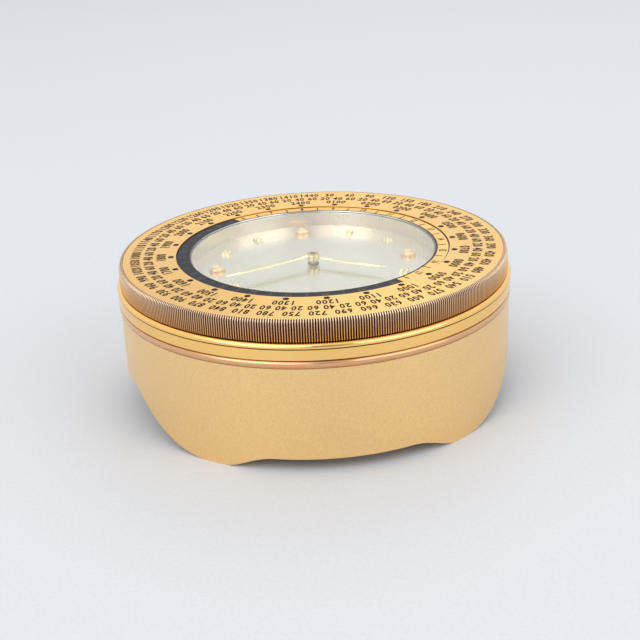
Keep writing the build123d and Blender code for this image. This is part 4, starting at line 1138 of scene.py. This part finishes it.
def add_world(stage):
    """A plain pale sky, and a soft dark flag round the camera that the camera itself doesn't see.
    On the flag the strength falls evenly to its share as the cosine of the angle to the camera's
    direction rises from the flag's start to where it is full."""
    world = bpy.data.worlds.new("sky")
    bpy.context.scene.world = world
    world.use_nodes = True
    tree = world.node_tree
    sky = tree.nodes["Background"]
    sky.inputs["Color"].default_value = SKY_TONE
    ways = {0: add_node(tree, "TexCoord")["Generated"], 1: Vector(stage.place).normalized()}
    inputs = {
        "Value": add_node(tree, "VectorMath", ways, operation="DOT_PRODUCT")["Value"],
        "From Min": FLAG_START,
        "From Max": FLAG_FULL,
        "To Min": stage.sky,
        "To Max": stage.sky * stage.flag,
    }
    flagged = add_node(tree, "MapRange", inputs)["Result"]
    seen = add_node(tree, "LightPath")["Is Camera Ray"]
    strength = add_node(tree, "Mix", {0: seen, 2: flagged, 3: stage.sky}, data_type="FLOAT")[0]
    tree.links.new(strength, sky.inputs["Strength"])


def add_lamp(name, place, diameter, watts):
    """A round soft lamp that faces the clock."""
    light = bpy.data.lights.new(name, "AREA")
    light.shape = "DISK"
    light.size = diameter
    light.energy = watts
    lamp = bpy.data.objects.new(name, light)
    bpy.context.scene.collection.objects.link(lamp)
    lamp.location = place
    aim = Vector(LAMP_AIM) - Vector(place)
    lamp.rotation_euler = aim.to_track_quat("-Z", "Y").to_euler()


GROUPS = {
    "clock_sizes": ClockSizes,
    "clock_colours": ClockColours,
    "clock_stage": ClockStage,
}
OPERATORS = (
    CLOCK_OT_case,
    CLOCK_OT_movement,
    CLOCK_OT_case_ring,
    CLOCK_OT_glass,
    CLOCK_OT_bezel,
    CLOCK_OT_printed_ring,
    CLOCK_OT_day_ring,
    CLOCK_OT_markers,
    CLOCK_OT_hands,
    CLOCK_OT_stage,
)


class CLOCK_PT_panel(bpy.types.Panel):
    """Lists the pieces of the clock, and its sizes, colours and stage"""

    bl_idname = "CLOCK_PT_panel"
    bl_label = "Brass table clock"
    bl_space_type = "VIEW_3D"
    bl_region_type = "UI"
    bl_category = "Clock"

    def draw(self, context):
        column = self.layout.column()
        for operator in OPERATORS:
            column.operator(operator.bl_idname)
        for name, group in GROUPS.items():
            box = self.layout.box()
            for key in group.__annotations__:
                box.prop(getattr(context.scene, name), key)


def register():
    """Adds the settings, the operators and the panel to Blender."""
    for name, group in GROUPS.items():
        bpy.utils.register_class(group)
        setattr(bpy.types.Scene, name, PointerProperty(type=group))
    for operator in OPERATORS:
        bpy.utils.register_class(operator)
    bpy.utils.register_class(CLOCK_PT_panel)


def unregister():
    """Takes the panel, the operators and the settings out again."""
    bpy.utils.unregister_class(CLOCK_PT_panel)
    for operator in reversed(OPERATORS):
        bpy.utils.unregister_class(operator)
    for name, group in GROUPS.items():
        delattr(bpy.types.Scene, name)
        bpy.utils.unregister_class(group)


def main():
    """Builds the clock and its stage."""
    register()
    bpy.ops.clock.case()
    bpy.ops.clock.movement()
    bpy.ops.clock.case_ring()
    bpy.ops.clock.glass()
    bpy.ops.clock.bezel()
    bpy.ops.clock.printed_ring()
    bpy.ops.clock.day_ring()
    bpy.ops.clock.markers()
    bpy.ops.clock.hands()
    bpy.ops.clock.stage()


if __name__ == "__main__":
    main()
